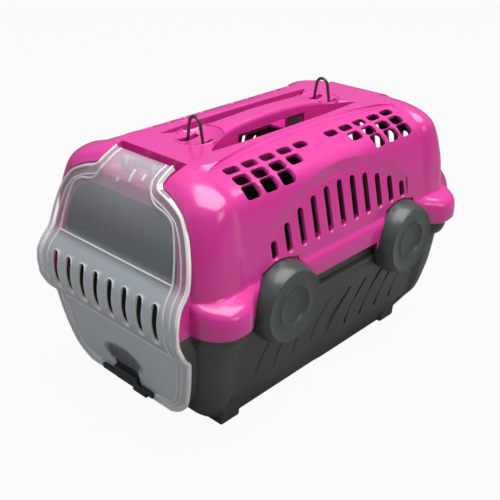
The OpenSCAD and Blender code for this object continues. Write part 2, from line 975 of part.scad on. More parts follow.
// What stands inside the upper shell's hollow
module upper_inside() {
    translate([0, 0, body_h - hollow_d - wall])
        linear_extrude(hollow_d + wall)
            both_sides()
                hollow_2d(wall);
    grip();
    block([-bay_half - wall, -end_y, bay_z - wall], [bay_half + wall, bay_back + wall, body_h]);
    both_sides()
        arch_backing();
    both_ends() {
        both_sides() {
            clip_seat();
            pin_bar(groove_clear + wall, groove_half + wall);
        }
        translate([0, loop_y, body_h - 8])
            cylinder(r = scoop_r - 2, h = 8, $fn = 12);
    }
}

module hollows_cut() {
    translate([0, 0, body_h - hollow_d])
        linear_extrude(hollow_d - eps)
            both_sides()
                hollow_2d();
    difference() {
        translate([0, 0, body_h - 1])
            linear_extrude(handle_rise + 2)
                both_sides()
                    hollow_2d();
        grip();
    }
}

module rim_notch() {
    block([seat_x - 10, -notch_l / 2, split_z - 1], [half_w + 5, notch_l / 2, split_z + notch_h]);
}

module hinge_bay_cut() {
    block([-bay_half, -end_y - 10, bay_z], [bay_half, bay_back, body_h + 5]);
}

module hinge_lugs() {
    for (x = [-23, -13, 13, 23])
        difference() {
            union() {
                translate([x - 2.5, rod_y, rod_z])
                    rotate([0, 90, 0])
                        cylinder(r = ear_r, h = 5);
                block([x - 2.5, rod_y - ear_r, bay_z - 1], [x + 2.5, rod_y + ear_r, rod_z]);
            }
            rod_hole(fit);
        }
}

module rod_hole(clear) {
    translate([-rod_half - 1, rod_y, rod_z])
        rotate([0, 90, 0])
            cylinder(r = rod_r + clear, h = 2 * rod_half + 2);
}

rear_slot_low = split_z + rim_h + 3;
rear_slot_high = body_h - 45;

module rear_slots_cut() {
    for (k = [-(door_slots - 1) / 2 : (door_slots - 1) / 2])
        lengthways(end_y - 2 * belt_out, end_y + 2 * belt_out)
            translate([k * door_pitch, 0])
                moulded_slot_2d(rear_slot_low, rear_slot_high, door_slot_w);
}

// ---------------------------------------------------------------- door

module front_door() color(clear, 0.55) {
    difference() {
        union() {
            difference() {
                frame_block(0, 0);
                behind_face(door_t);
                // leaves only the tab above the hinge
                block([-half_w, rod_y + 1, 0], [half_w, 0, body_h + 1]);
            }
            hinge_ears();
        }
        door_slots_cut();
        door_notch();
        rod_hole(run);
    }
}

module door_slots_cut() {
    for (k = [-(door_slots - 1) / 2 : (door_slots - 1) / 2])
        lengthways(-end_y - 40, -end_y + 10)
            translate([k * door_pitch, 0])
                slot_2d(belt_z - door_slot_h / 2, belt_z + door_slot_h / 2, door_slot_w);
}

module hinge_ears() {
    for (x = [-18, 18])
        translate([x - 1.9, 0, 0]) {
            translate([0, rod_y, rod_z])
                rotate([0, 90, 0])
                    cylinder(r = ear_r, h = 3.8);
            intersection() {
                block([0, rod_y - ear_r, rod_z], [3.8, rod_y + 1, body_h]);
                behind_face(door_t / 2);
            }
        }
}

// Places its children on the door's lower panel: z up the panel, y into it
module on_panel() {
    translate([0, -end_y - panel_in, door_bottom])
        rotate([panel_lean, 0, 0])
            children();
}

module door_notch() {
    on_panel()
        block([-notch_half, -5, -5], [notch_half, door_t + 5, notch_up]);
}

// ---------------------------------------------------------------- latch

head_low = 18;              // lower edge of the head, up the panel
bar_low = 3;                // lower edge of the bar
bar_h = 7;
nub_from = 5;               // the thumb nub, right of the middle
nub_to = 30;
nub_drop = 9;
hook_half = 10;             // half width of the hook behind the head
hook_low = 12.4;
hook_t = 3.6;
latch_clear = 0.4;          // between the latch and the door
socket_spare = 3;           // depth of the socket below the locked hook
head_in = door_t + 0.3;     // outer side of the head, behind the door's face
head_t = 2.5;

module door_latch() color(black) {
    neck_half = neck_w / 2;
    neck_top = notch_up - latch_clear;
    on_panel() {
        block([-bar_w / 2, -4, bar_low], [bar_w / 2, -latch_clear, bar_low + bar_h]);
        block([nub_from, -5, bar_low - nub_drop], [nub_to, -latch_clear, bar_low + 0.1]);
        block([-neck_half, -4, bar_low], [neck_half, door_t, neck_top - 6]);
        block([-neck_half, 0, head_low - 2], [neck_half, head_in + 1, neck_top]);
        block([-head_w / 2, head_in, head_low], [head_w / 2, head_in + head_t, head_low + head_h]);
        block([-hook_half, head_in + head_t - 0.1, hook_low],
              [hook_half, head_in + head_t - 0.1 + hook_t, head_low + 8]);
    }
}

// The slot behind the doorway's sill that the latch's hook slides down into
module latch_socket() {
    room = 0.9;
    front = head_in + head_t - 0.1 - room;
    on_panel()
        block([-hook_half - room, front, hook_low - latch_travel - socket_spare],
              [hook_half + room, front + hook_t + 2.4 + room, head_low + 2]);
}

// ---------------------------------------------------------------- nodes

module door_hinge_rod() color(steel)
    translate([-rod_half, rod_y, rod_z])
        rotate([0, 90, 0])
            cylinder(r = rod_r, h = 2 * rod_half);

module clip_front_right() color(wheel_grey) at_clip(true, true) clip_body();
module clip_front_left() color(wheel_grey) at_clip(false, true) clip_body();
module clip_rear_right() color(wheel_grey) at_clip(true, false) clip_body();
module clip_rear_left() color(wheel_grey) at_clip(false, false) clip_body();
module clip_pin_front_right() color(steel) at_clip(true, true) clip_pin();
module clip_pin_front_left() color(steel) at_clip(false, true) clip_pin();
module clip_pin_rear_right() color(steel) at_clip(true, false) clip_pin();
module clip_pin_rear_left() color(steel) at_clip(false, false) clip_pin();
module loop_front() color(steel) mirror([0, 1, 0]) wire_loop();
module loop_rear() color(steel) wire_loop();
module loop_keeper_front() color(magenta) mirror([0, 1, 0]) loop_keeper();
module loop_keeper_rear() color(magenta) loop_keeper();
module keeper_screws_front() color(steel) mirror([0, 1, 0]) keeper_screws();
module keeper_screws_rear() color(steel) keeper_screws();

lower_shell();
upper_shell();
front_door();
door_hinge_rod();
door_latch();
clip_front_right();
clip_front_left();
clip_rear_right();
clip_rear_left();
clip_pin_front_right();
clip_pin_front_left();
clip_pin_rear_right();
clip_pin_rear_left();
loop_front();
loop_rear();
loop_keeper_front();
loop_keeper_rear();
keeper_screws_front();
keeper_screws_rear();
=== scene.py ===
import math

import bmesh
import bpy
import numpy as np
from mathutils import Matrix, Vector


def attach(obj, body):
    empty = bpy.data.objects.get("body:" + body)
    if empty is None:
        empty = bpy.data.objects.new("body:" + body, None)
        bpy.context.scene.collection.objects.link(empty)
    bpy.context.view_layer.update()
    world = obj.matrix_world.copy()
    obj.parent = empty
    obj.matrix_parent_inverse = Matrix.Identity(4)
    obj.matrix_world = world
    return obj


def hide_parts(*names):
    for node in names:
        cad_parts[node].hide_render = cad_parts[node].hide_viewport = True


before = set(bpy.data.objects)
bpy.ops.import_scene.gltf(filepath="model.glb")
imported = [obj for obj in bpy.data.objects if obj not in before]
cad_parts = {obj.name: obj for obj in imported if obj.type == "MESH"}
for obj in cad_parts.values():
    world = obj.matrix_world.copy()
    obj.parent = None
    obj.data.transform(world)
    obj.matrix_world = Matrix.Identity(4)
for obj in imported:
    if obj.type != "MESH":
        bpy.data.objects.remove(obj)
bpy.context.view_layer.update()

# ---------------------------------------------------------------- view and light
# The photograph's viewpoint, a white sweep that keeps a soft shadow, and three soft
# lamps: a wide one overhead, a dimmer one from the door's side and one from behind.

CAMERA_PLACE = Vector((0.5070, -0.5556, 0.4890))
AZIMUTH = math.radians(43.27)
ELEVATION = math.radians(27.05)
ROLL = math.radians(0.41)
FOCAL_PX = 811.0
PHOTO_PX = 500
SENSOR_MM = 36.0


def put_in_scene(name, data):
    thing = bpy.data.objects.new(name, data)
    bpy.context.scene.collection.objects.link(thing)
    return thing


camera_data = bpy.data.cameras.new("camera")
camera_data.sensor_width = SENSOR_MM
camera_data.lens = SENSOR_MM * FOCAL_PX / PHOTO_PX
camera = put_in_scene("camera", camera_data)
facing = Matrix.Rotation(AZIMUTH, 4, "Z") @ Matrix.Rotation(math.pi / 2 - ELEVATION, 4, "X")
camera.matrix_world = Matrix.Translation(CAMERA_PLACE) @ facing @ Matrix.Rotation(ROLL, 4, "Z")
bpy.context.scene.camera = camera
bpy.context.scene.view_settings.view_transform = "Standard"


def add_lamp(name, place, aim, size, watts):
    """A square soft lamp at a place, turned towards a point."""
    data = bpy.data.lights.new(name, "AREA")
    data.size = size
    data.energy = watts
    lamp = put_in_scene(name, data)
    look = Vector(aim) - Vector(place)
    turn = look.to_track_quat("-Z", "Y").to_matrix().to_4x4()
    lamp.matrix_world = Matrix.Translation(place) @ turn


add_lamp("overhead_lamp", (0.25, 0.15, 1.5), (0.0, 0.0, 0.1), 1.3, 27.0)
add_lamp("front_lamp", (-0.9, -1.5, 0.7), (0.0, 0.0, 0.12), 1.7, 2.8)
add_lamp("side_lamp", (1.8, 0.2, 0.9), (0.0, 0.0, 0.12), 0.7, 4.0)


def link(tree, output, socket):
    tree.links.new(output, socket)


def lift_to_white(tree, strength):
    """How much plain white the camera sees in place of a shader, directly or through plastic."""
    path = tree.nodes.new("ShaderNodeLightPath")
    seen = tree.nodes.new("ShaderNodeMath")
    seen.operation = "MAXIMUM"
    link(tree, path.outputs["Is Camera Ray"], seen.inputs[0])
    link(tree, path.outputs["Is Transmission Ray"], seen.inputs[1])
    amount = tree.nodes.new("ShaderNodeMath")
    amount.operation = "MULTIPLY"
    amount.inputs[1].default_value = strength
    link(tree, seen.outputs[0], amount.inputs[0])
    return amount.outputs[0]


world = bpy.data.worlds.new("white_room")
world.use_nodes = True
room = world.node_tree
room.nodes.clear()
room_light = room.nodes.new("ShaderNodeBackground")
room_light.inputs["Color"].default_value = (1.0, 1.0, 1.0, 1.0)
direction = room.nodes.new("ShaderNodeTexCoord")
height = room.nodes.new("ShaderNodeSeparateXYZ")
link(room, direction.outputs["Generated"], height.inputs[0])
brighter_up = room.nodes.new("ShaderNodeMapRange")
for socket, value in (("From Min", -0.2), ("From Max", 1.0), ("To Min", 0.07), ("To Max", 0.5)):
    brighter_up.inputs[socket].default_value = value
link(room, height.outputs["Z"], brighter_up.inputs["Value"])
link(room, brighter_up.outputs[0], room_light.inputs["Strength"])
room_seen = room.nodes.new("ShaderNodeBackground")
room_seen.inputs["Color"].default_value = (1.0, 1.0, 1.0, 1.0)
room_mix = room.nodes.new("ShaderNodeMixShader")
room_out = room.nodes.new("ShaderNodeOutputWorld")
link(room, lift_to_white(room, 1.0), room_mix.inputs["Fac"])
link(room, room_light.outputs[0], room_mix.inputs[1])
link(room, room_seen.outputs[0], room_mix.inputs[2])
link(room, room_mix.outputs[0], room_out.inputs["Surface"])
bpy.context.scene.world = world

floor_mesh = bpy.data.meshes.new("floor")
floor_bm = bmesh.new()
bmesh.ops.create_grid(floor_bm, x_segments=1, y_segments=1, size=4.0)
floor_bm.to_mesh(floor_mesh)
floor_bm.free()
floor = put_in_scene("floor", floor_mesh)
floor_white = bpy.data.materials.new("floor_white")
floor_white.use_nodes = True
floor_tree = floor_white.node_tree
floor_tree.nodes.clear()
floor_matt = floor_tree.nodes.new("ShaderNodeBsdfDiffuse")
floor_matt.inputs["Color"].default_value = (0.32, 0.32, 0.32, 1.0)
floor_glow = floor_tree.nodes.new("ShaderNodeEmission")
floor_mix = floor_tree.nodes.new("ShaderNodeMixShader")
floor_out = floor_tree.nodes.new("ShaderNodeOutputMaterial")
link(floor_tree, lift_to_white(floor_tree, 0.95), floor_mix.inputs["Fac"])
link(floor_tree, floor_matt.outputs[0], floor_mix.inputs[1])
link(floor_tree, floor_glow.outputs[0], floor_mix.inputs[2])
link(floor_tree, floor_mix.outputs[0], floor_out.inputs["Surface"])
floor_mesh.materials.append(floor_white)

# ---------------------------------------------------------------- lower shell
# A deep tray moulded in dark satin polypropylene: floor, four feet, side walls with
# slanted pressed grooves, and an upstand that goes up inside the upper shell.
# All meshes are made in millimetres and brought to metres when they are finished.

HALF_W = 110.0          # half width at the rim
END_Y = 185.0           # half length at the rim
SPLIT_Z = 127.0         # seam between the shells
TOP_Z = 249.0           # flat top of the upper shell
WALL = 3.0
RIM_SPARE = 2.2         # how much thicker the wall is under the ledge
BUMPER_OUT = 17.0
BUMPER_FROM = 121.0
BUMPER_RUN = 31.0
CREASE_FROM = 133.0
CREASE_RUN = 9.0
SEAM_GAP = 0.4
CLIP_Y = 89.9
SEAT_X = 104.0
POCKET_R = 39.0

# level: height, inset of the side, inset of the end, corner radius, bumper, end swell
LOWER_LEVELS = [
    (2.2, 35, 47, 18, 0, 0), (10, 32, 36.5, 19, 0, 1), (22, 29, 26, 20, 0, 3),
    (35, 22.5, 20, 22, 0, 4), (66, 16.5, 12, 24, 0, 5), (100, 10.5, 6, 26, 0, 5),
    (110.3, 8.7, 4.5, 27, 0.03, 4.5), (112, 8.4, 4, 27, 0.88, 0), (116, 7.4, 4, 27, 0.94, 0),
    (117.2, 8.4, 4, 27, 1.03, 0), (118.6, 10.8, 4, 27, 1.2, 0), (138, 10, 4, 27, 1.16, 0),
]


def smoothed(rows, step):
    """More rows, about a step apart, on smooth curves through the given ones."""
    rows = np.array(rows, dtype=float)
    gaps = np.maximum(np.hypot(np.diff(rows[:, 0]), np.diff(rows[:, 1])), 0.01)
    rise = np.diff(rows, axis=0) / gaps[:, None]
    slope = np.zeros_like(rows)
    both = rise[:-1] * rise[1:] > 0
    mean = 2 * rise[:-1] * rise[1:] / np.where(both, rise[:-1] + rise[1:], 1)
    slope[1:-1] = np.where(both, mean, 0)
    slope[0], slope[-1] = rise[0], rise[-1]
    finer = [rows[0]]
    for i, gap in enumerate(gaps):
        parts = max(1, math.ceil(gap / step))
        for k in range(1, parts + 1):
            t = k / parts
            finer.append(
                (1 + 2 * t) * (1 - t) ** 2 * rows[i] + t * (1 - t) ** 2 * gap * slope[i]
                + t * t * (3 - 2 * t) * rows[i + 1] - t * t * (1 - t) * gap * slope[i + 1]
            )
    return finer


def eased(value):
    value = min(max(value, 0.0), 1.0)
    return value * value * (3 - 2 * value)


SIDE_STEPS = [0.0, 0.1, 0.2, 0.3, 0.4, 0.5, 0.58, 0.66, 0.72] + [0.76 + 0.02 * k for k in range(13)]
CORNER_STEPS = 18
END_STEPS = 9


def outline(level, inset=0.0, lift=0.0):
    """One level of a shell as a closed ring of points."""
    z, in_x, in_y, radius, bumper, swell = level
    half_w, half_l, r = HALF_W - in_x - inset, END_Y - in_y - inset, radius - inset
    quarter = [(half_w, s * (half_l - r)) for s in SIDE_STEPS]
    for k in range(1, CORNER_STEPS):
        turn = math.radians(90 * k / CORNER_STEPS)
        quarter.append((half_w - r + r * math.cos(turn), half_l - r + r * math.sin(turn)))
    quarter += [((half_w - r) * (1 - k / END_STEPS), half_l) for k in range(END_STEPS + 1)]
    swollen = []
    for x, y in quarter:
        grow = bumper * BUMPER_OUT * eased((y - BUMPER_FROM) / BUMPER_RUN)
        grow += swell * eased((y - CREASE_FROM) / CREASE_RUN)
        swollen.append((x * (1 + grow / half_w), y))
    left = [(-x, y) for x, y in swollen[-2::-1]]
    half = swollen + left
    fuller = float(np.interp(z, [10, 35, 70, 108, 112], [3, 8, 8, 4, 0]))
    rear = [
        (x * (1 + 0.004 * fuller * (y > 0)), y + fuller * eased((y - 90) / 60))
        for x, y in half
    ]
    whole = rear + [(x, -y) for x, y in half[-2:0:-1]]
    return [Vector((x, y, z + lift)) for x, y in whole]


def loft(rings):
    """A closed skin over rings of points, made by extruding the first ring's edges."""
    bm = bmesh.new()
    place = bm.verts.layers.int.new("place")
    circle = bmesh.ops.create_circle(bm, segments=len(rings[0]), radius=1.0)["verts"]
    for number, vert in enumerate(circle):
        vert[place] = number
        vert.co = rings[0][number]
    edges = bm.edges[:]
    bmesh.ops.contextual_create(bm, geom=edges)
    for ring in rings[1:]:
        grown = bmesh.ops.extrude_edge_only(bm, edges=edges)["geom"]
        verts = {item for item in grown if isinstance(item, bmesh.types.BMVert)}
        edges = [item for item in grown if isinstance(item, bmesh.types.BMEdge)
                 and item.verts[0] in verts and item.verts[1] in verts]
        for vert in verts:
            vert.co = ring[vert[place]]
    bmesh.ops.contextual_create(bm, geom=edges)
    bmesh.ops.recalc_face_normals(bm, faces=bm.faces[:])
    return bm


def laid(point, depth, axis):
    a, b = point
    return Vector({"X": (depth, a, b), "Y": (a, depth, b), "Z": (a, b, depth)}[axis])


def prism(points, low, high, axis):
    """A flat outline pushed along an axis from low to high."""
    bm = bmesh.new()
    face = bm.faces.new([bm.verts.new(laid(point, low, axis)) for point in points])
    grown = bmesh.ops.extrude_face_region(bm, geom=[face])["geom"]
    verts = [item for item in grown if isinstance(item, bmesh.types.BMVert)]
    bmesh.ops.translate(bm, verts=verts, vec=laid((0, 0), high - low, axis))
    bmesh.ops.recalc_face_normals(bm, faces=bm.faces[:])
    return bm


def block(low, high, rounding=0.0):
    """A box between two corners, its edges rounded."""
    low, high = Vector(low), Vector(high)
    bm = bmesh.new()
    size = Matrix.Diagonal((*(high - low), 1.0))
    bmesh.ops.create_cube(bm, size=1.0, matrix=Matrix.Translation((low + high) / 2) @ size)
    if rounding:
        bmesh.ops.bevel(bm, geom=bm.edges[:], offset=rounding, segments=3, profile=0.5,
                        affect="EDGES", material=-1)
    return bm


def bar(radius, start, end, sides=48):
    """A straight round bar between two points."""
    start, end = Vector(start), Vector(end)
    bm = bmesh.new()
    turn = (end - start).to_track_quat("Z", "Y").to_matrix().to_4x4()
    place = Matrix.Translation((start + end) / 2) @ turn
    bmesh.ops.create_cone(bm, cap_ends=True, segments=sides, radius1=radius, radius2=radius,
                          depth=(end - start).length, matrix=place)
    return bm


def gathered(*parts):
    """Several loose shapes as one."""
    whole = bmesh.new()
    for part in parts:
        mesh = bpy.data.meshes.new("part")
        part.to_mesh(mesh)
        part.free()
        whole.from_mesh(mesh)
        bpy.data.meshes.remove(mesh)
    return whole


def mirrored(bm, axis):
    """A shape together with its mirror image."""
    bmesh.ops.mirror(bm, geom=bm.verts[:] + bm.edges[:] + bm.faces[:], axis=axis, merge_dist=0.0)
    bmesh.ops.recalc_face_normals(bm, faces=bm.faces[:])
    return bm


def all_round(bm):
    return mirrored(mirrored(bm, "X"), "Y")


def carved(base, steps):
    """Adds to, cuts and trims a shape, step by step, and returns the mesh."""
    mesh = bpy.data.meshes.new("carved")
    base.to_mesh(mesh)
    base.free()
    work = put_in_scene("carved", mesh)
    helpers = []
    for operation, bm in steps:
        helper_mesh = bpy.data.meshes.new("tool")
        bm.to_mesh(helper_mesh)
        bm.free()
        helper = put_in_scene("tool", helper_mesh)
        helpers.append(helper)
        change = work.modifiers.new("change", "BOOLEAN")
        change.operation = operation
        change.solver = "MANIFOLD"
        change.object = helper
    graph = bpy.context.evaluated_depsgraph_get()
    result = bpy.data.meshes.new_from_object(work.evaluated_get(graph))
    result.materials.clear()
    for thing in helpers + [work]:
        spare = thing.data
        bpy.data.objects.remove(thing)
        bpy.data.meshes.remove(spare)
    return result


def as_shape(mesh):
    bm = bmesh.new()
    bm.from_mesh(mesh)
    return bm


def tube(path, radius, sides=10):
    """A round strand along points, its rings square to the path."""
    path = [Vector(point) for point in path]
    rings = []
    side = None
    for i, point in enumerate(path):
        ahead = (path[min(i + 1, len(path) - 1)] - path[max(i - 1, 0)]).normalized()
        side = side or ahead.orthogonal().normalized()
        side = (side - ahead * side.dot(ahead)).normalized()
        across = ahead.cross(side)
        rings.append([
            point + radius * (math.cos(a) * side + math.sin(a) * across)
            for a in [math.tau * k / sides for k in range(sides)]
        ])
    return loft(rings)


def finished(name, mesh, body, nodes=(), sharp=21.0):
    """Brings a mesh to metres, shades it and hangs it on its body."""
    mesh.name = name
    mesh.transform(Matrix.Scale(0.001, 4))
    mesh.shade_smooth()
    mesh.set_sharp_from_angle(angle=math.radians(sharp))
    piece = put_in_scene(name, mesh)
    weigh = piece.modifiers.new("weighted_normals", "WEIGHTED_NORMAL")
    weigh.keep_sharp = True
    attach(piece, body)
    if nodes:
        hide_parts(*nodes)
    return piece


def clip_seats(low, high, radius=POCKET_R):
    return all_round(bar(radius, (low, CLIP_Y, SPLIT_Z), (high, CLIP_Y, SPLIT_Z), 96))


# side view of the door's outer face: how far it stands before the rim's end, height
DOOR_FACE = [
    (-37, 248), (-31, 246), (-24.2, 242.4), (-19, 238.6), (-15.5, 234), (-12, 223.4),
    (-7, 207), (-1.6, 186), (3, 170), (5.9, 165.6), (11, 160), (14.8, 154), (18, 145),
    (19, 135), (18, 125), (14.5, 115.5), (10, 107), (3.5, 99), (2.1, 86.6), (-0.1, 69),
    (-6.2, 29),
]
# front view of one half of the door's edge: how far inside the rim's side, height
DOOR_EDGE = [
    (72.3, 249), (70.6, 238.6), (67, 236), (57.7, 233.4), (46.6, 229), (37, 223.4), (30, 214.5),
    (25.8, 207), (21.8, 196), (18.9, 186), (16.6, 173.6), (15.4, 160), (13, 141), (13.1, 117),
    (16.7, 98.6), (18.5, 86.6), (22.4, 69), (31.1, 45), (42, 34), (52, 29),
]
DOOR_T = 2.6
DOOR_GAP = 0.6
PANEL_LEAN = math.radians(8.7)


def shifted(path, distance):
    """Moves a path sideways, to the left of its direction."""
    path = np.array(path, dtype=float)
    ahead = np.gradient(path, axis=0)
    left = np.stack([-ahead[:, 1], ahead[:, 0]], axis=1)
    return path + distance * left / np.linalg.norm(left, axis=1)[:, None]


face_line = np.array([(-END_Y - out, z) for out, z in smoothed(DOOR_FACE, 3.0)])
edge_line = np.array([(HALF_W - near, z) for near, z in smoothed(DOOR_EDGE, 3.0)])


def behind_face(depth, width=HALF_W + 10):
    """Everything behind the door's outer face, moved back by a depth."""
    path = shifted(face_line, depth)
    back, low = -END_Y + 70, path[-1][1] - 20
    foot = (path[-1][0] + 20 * math.tan(PANEL_LEAN), low)
    side = [(back, TOP_Z - 1 - depth)] + path.tolist() + [foot, (back, low)]
    return prism(side, -width, width, "X")


def edge_block(inset, front, back, lowest=0.0, highest=300.0):
    """The door's outline drawn in by an inset and pushed along the carrier."""
    half = shifted(edge_line, -inset)
    half = [(x, min(max(z, lowest), highest)) for x, z in half]
    return prism(half + [(-x, z) for x, z in half[::-1]], front, back, "Y")


def end_frame(lowest, highest):
    """The frame around the doorway, between two heights, and its twin at the rear."""
    slab = block((-HALF_W, -260, lowest), (HALF_W, -END_Y + 60, highest))
    one = carved(
        edge_block(4.0, -END_Y - 40, -END_Y + 60),
        [("INTERSECT", behind_face(0.0)), ("INTERSECT", slab)],
    )
    return mirrored(as_shape(one), "Y")


def doorway():
    """The opening that the door closes."""
    low, high = 38.5, TOP_Z - 30
    half = [(x, z) for x, z in shifted(edge_line, -17.0) if low + 6 < z < high]
    half = [(half[0][0], high)] + half + [(49.0, low + 6), (48.0, low)]
    return prism(half + [(-x, z) for x, z in half[::-1]], -END_Y - 40, -END_Y + 40, "Y")


def door_room():
    space = edge_block(-1.0, -END_Y - 40, -END_Y + 37)
    return as_shape(carved(space, [("DIFFERENCE", behind_face(DOOR_T + DOOR_GAP))]))


def on_panel(bm):
    """Places a shape on the door's lower panel: z up the panel, y into it."""
    place = Matrix.Translation((0, -END_Y + 6.2, 29)) @ Matrix.Rotation(PANEL_LEAN, 4, "X")
    bmesh.ops.transform(bm, matrix=place, verts=bm.verts[:])
    return bm


def side_groove(number):
    """One slanted groove, as the strand that presses it into the wall."""
    points = []
    heights = [row[0] for row in LOWER_LEVELS]
    insets = [row[1] for row in LOWER_LEVELS]
    for k in range(13):
        t = k / 12
        z = 44 + 48 * t
        y = (number - 4) * 26 + 22 * t * t
        depth = 1.6 - 1.4 * math.sin(math.pi * t) ** 0.5
        points.append((HALF_W - np.interp(z, heights, insets) + depth + 0.6, y, z))
    return tube(points, 2.3, 10)


def foot():
    side = [(79.2 - 24, 14), (79.2 - 19, 0), (79.2, 0), (81.2, 24)]
    bm = prism(side, 138.4 - 24.6, 138.4, "Y")
    corners = [edge for edge in bm.edges if min(v.co.z for v in edge.verts) < 1]
    bmesh.ops.bevel(bm, geom=corners, offset=2.0, segments=3, profile=0.5,
                    affect="EDGES", material=-1)
    return bm


lower_levels = smoothed(LOWER_LEVELS, 4.0)
lower_cavity = carved(
    loft([
        outline(level, WALL + RIM_SPARE * (111 < level[0] < 118), WALL) for level in lower_levels
    ]),
    [("DIFFERENCE", clip_seats(SEAT_X - 6, SEAT_X))],
)
rear_hollow = as_shape(carved(
    edge_block(7.0, -END_Y - 40, -END_Y + 60), [("INTERSECT", behind_face(WALL))],
))
bmesh.ops.scale(rear_hollow, verts=rear_hollow.verts[:], vec=(1, -1, 1))
bmesh.ops.recalc_face_normals(rear_hollow, faces=rear_hollow.faces[:])
rear_hollow_mesh = bpy.data.meshes.new("rear_hollow")
rear_hollow.to_mesh(rear_hollow_mesh)
lower_mesh = carved(
    loft([outline(level) for level in lower_levels]),
    [
        ("UNION", end_frame(0.0, SPLIT_Z - SEAM_GAP)),
        ("UNION", all_round(foot())),
        ("DIFFERENCE", as_shape(lower_cavity)),
        ("DIFFERENCE", doorway()),
        ("DIFFERENCE", door_room()),
        ("DIFFERENCE", as_shape(rear_hollow_mesh)),
        ("DIFFERENCE", on_panel(block((-10.9, 4.4, 5.4), (10.9, 11.3, 20)))),
        ("DIFFERENCE", clip_seats(SEAT_X, SEAT_X + 60)),
        ("DIFFERENCE", all_round(block(
            (SEAT_X - 20, CLIP_Y - 40, SPLIT_Z - SEAM_GAP), (HALF_W, CLIP_Y + 40, 200),
        ))),
        ("DIFFERENCE", mirrored(gathered(*[side_groove(k) for k in range(9)]), "X")),
        ("UNION", all_round(block(
            (SEAT_X - 6.5, CLIP_Y - 8, 101), (SEAT_X + 4.5, CLIP_Y + 8, 104.6), 0.5,
        ))),
    ],
)


def colour(r, g, b):
    """A screen colour, 0 to 255, as the shader's linear value."""
    def one(value):
        value /= 255
        return value / 12.92 if value <= 0.04045 else ((value + 0.055) / 1.055) ** 2.4
    return (one(r), one(g), one(b), 1.0)


def moulding_group():
    """Shared look of moulded plastic: faint mottling, fine grain and handling marks."""
    tree = bpy.data.node_groups.new("moulded_finish", "ShaderNodeTree")
    for name, kind in (("Colour", "NodeSocketColor"), ("Shade", "NodeSocketFloat"),
                       ("Roughness", "NodeSocketFloat"), ("Grain", "NodeSocketFloat")):
        tree.interface.new_socket(name, in_out="INPUT", socket_type=kind)
    for name, kind in (("Colour", "NodeSocketColor"), ("Roughness", "NodeSocketFloat"),
                       ("Height", "NodeSocketFloat")):
        tree.interface.new_socket(name, in_out="OUTPUT", socket_type=kind)
    given = tree.nodes.new("NodeGroupInput")
    result = tree.nodes.new("NodeGroupOutput")
    place = tree.nodes.new("ShaderNodeTexCoord")

    def noise(scale, detail):
        node = tree.nodes.new("ShaderNodeTexNoise")
        node.inputs["Scale"].default_value = scale
        node.inputs["Detail"].default_value = detail
        link(tree, place.outputs["Object"], node.inputs["Vector"])
        return node.outputs["Fac"]

    def sums(operation, a, b):
        node = tree.nodes.new("ShaderNodeMath")
        node.operation = operation
        for socket, value in zip(node.inputs, (a, b)):
            if isinstance(value, float):
                socket.default_value = value
            else:
                link(tree, value, socket)
        return node.outputs[0]

    cloud = sums("SUBTRACT", noise(14.0, 3.0), 0.5)
    fine = noise(900.0, 2.0)
    scuff = noise(70.0, 6.0)
    shade = tree.nodes.new("ShaderNodeHueSaturation")
    link(tree, given.outputs["Colour"], shade.inputs["Color"])
    value = sums("ADD", sums("MULTIPLY", cloud, given.outputs["Shade"]), 1.0)
    link(tree, value, shade.inputs["Value"])
    marks = sums("MULTIPLY", sums("SUBTRACT", scuff, 0.5), 0.12)
    rough = sums("ADD", given.outputs["Roughness"], marks)
    link(tree, shade.outputs["Color"], result.inputs["Colour"])
    link(tree, rough, result.inputs["Roughness"])
    link(tree, sums("MULTIPLY", fine, given.outputs["Grain"]), result.inputs["Height"])
    return tree


moulded_finish = moulding_group()


def moulded(name, tint, roughness, grain=0.15, shade=0.12, rounding=0.0007, coat=0.0, alpha=1.0):
    """A moulded plastic, with its outer edges softened in the shading."""
    material = bpy.data.materials.new(name)
    material.use_nodes = True
    tree = material.node_tree
    skin = tree.nodes["Principled BSDF"]
    look = tree.nodes.new("ShaderNodeGroup")
    look.node_tree = moulded_finish
    look.inputs["Colour"].default_value = tint
    look.inputs["Shade"].default_value = shade
    look.inputs["Roughness"].default_value = roughness
    look.inputs["Grain"].default_value = grain
    bump = tree.nodes.new("ShaderNodeBump")
    bump.inputs["Strength"].default_value = 0.25
    bump.inputs["Distance"].default_value = 0.0001
    link(tree, look.outputs["Colour"], skin.inputs["Base Color"])
    link(tree, look.outputs["Roughness"], skin.inputs["Roughness"])
    link(tree, look.outputs["Height"], bump.inputs["Height"])
    link(tree, bump.outputs["Normal"], skin.inputs["Normal"])
    if rounding:
        soft = tree.nodes.new("ShaderNodeBevel")
        soft.samples = 4
        soft.inputs["Radius"].default_value = rounding
        link(tree, soft.outputs["Normal"], bump.inputs["Normal"])
    skin.inputs["Coat Weight"].default_value = coat
    skin.inputs["Coat Roughness"].default_value = 0.12
    skin.inputs["Alpha"].default_value = alpha
    return material


lower_plastic = moulded("lower_plastic", colour(66, 67, 61), 0.36, grain=0.4)
lower_mesh.materials.append(lower_plastic)
finished("lower_tray", lower_mesh, "carrier", ["lower_shell"])

# ---------------------------------------------------------------- upper shell
# The glossy magenta cover with its carrying grip: swollen ends, corner bumpers, two
# slotted side arches, roof vents and shallow hollows for the strap loops.

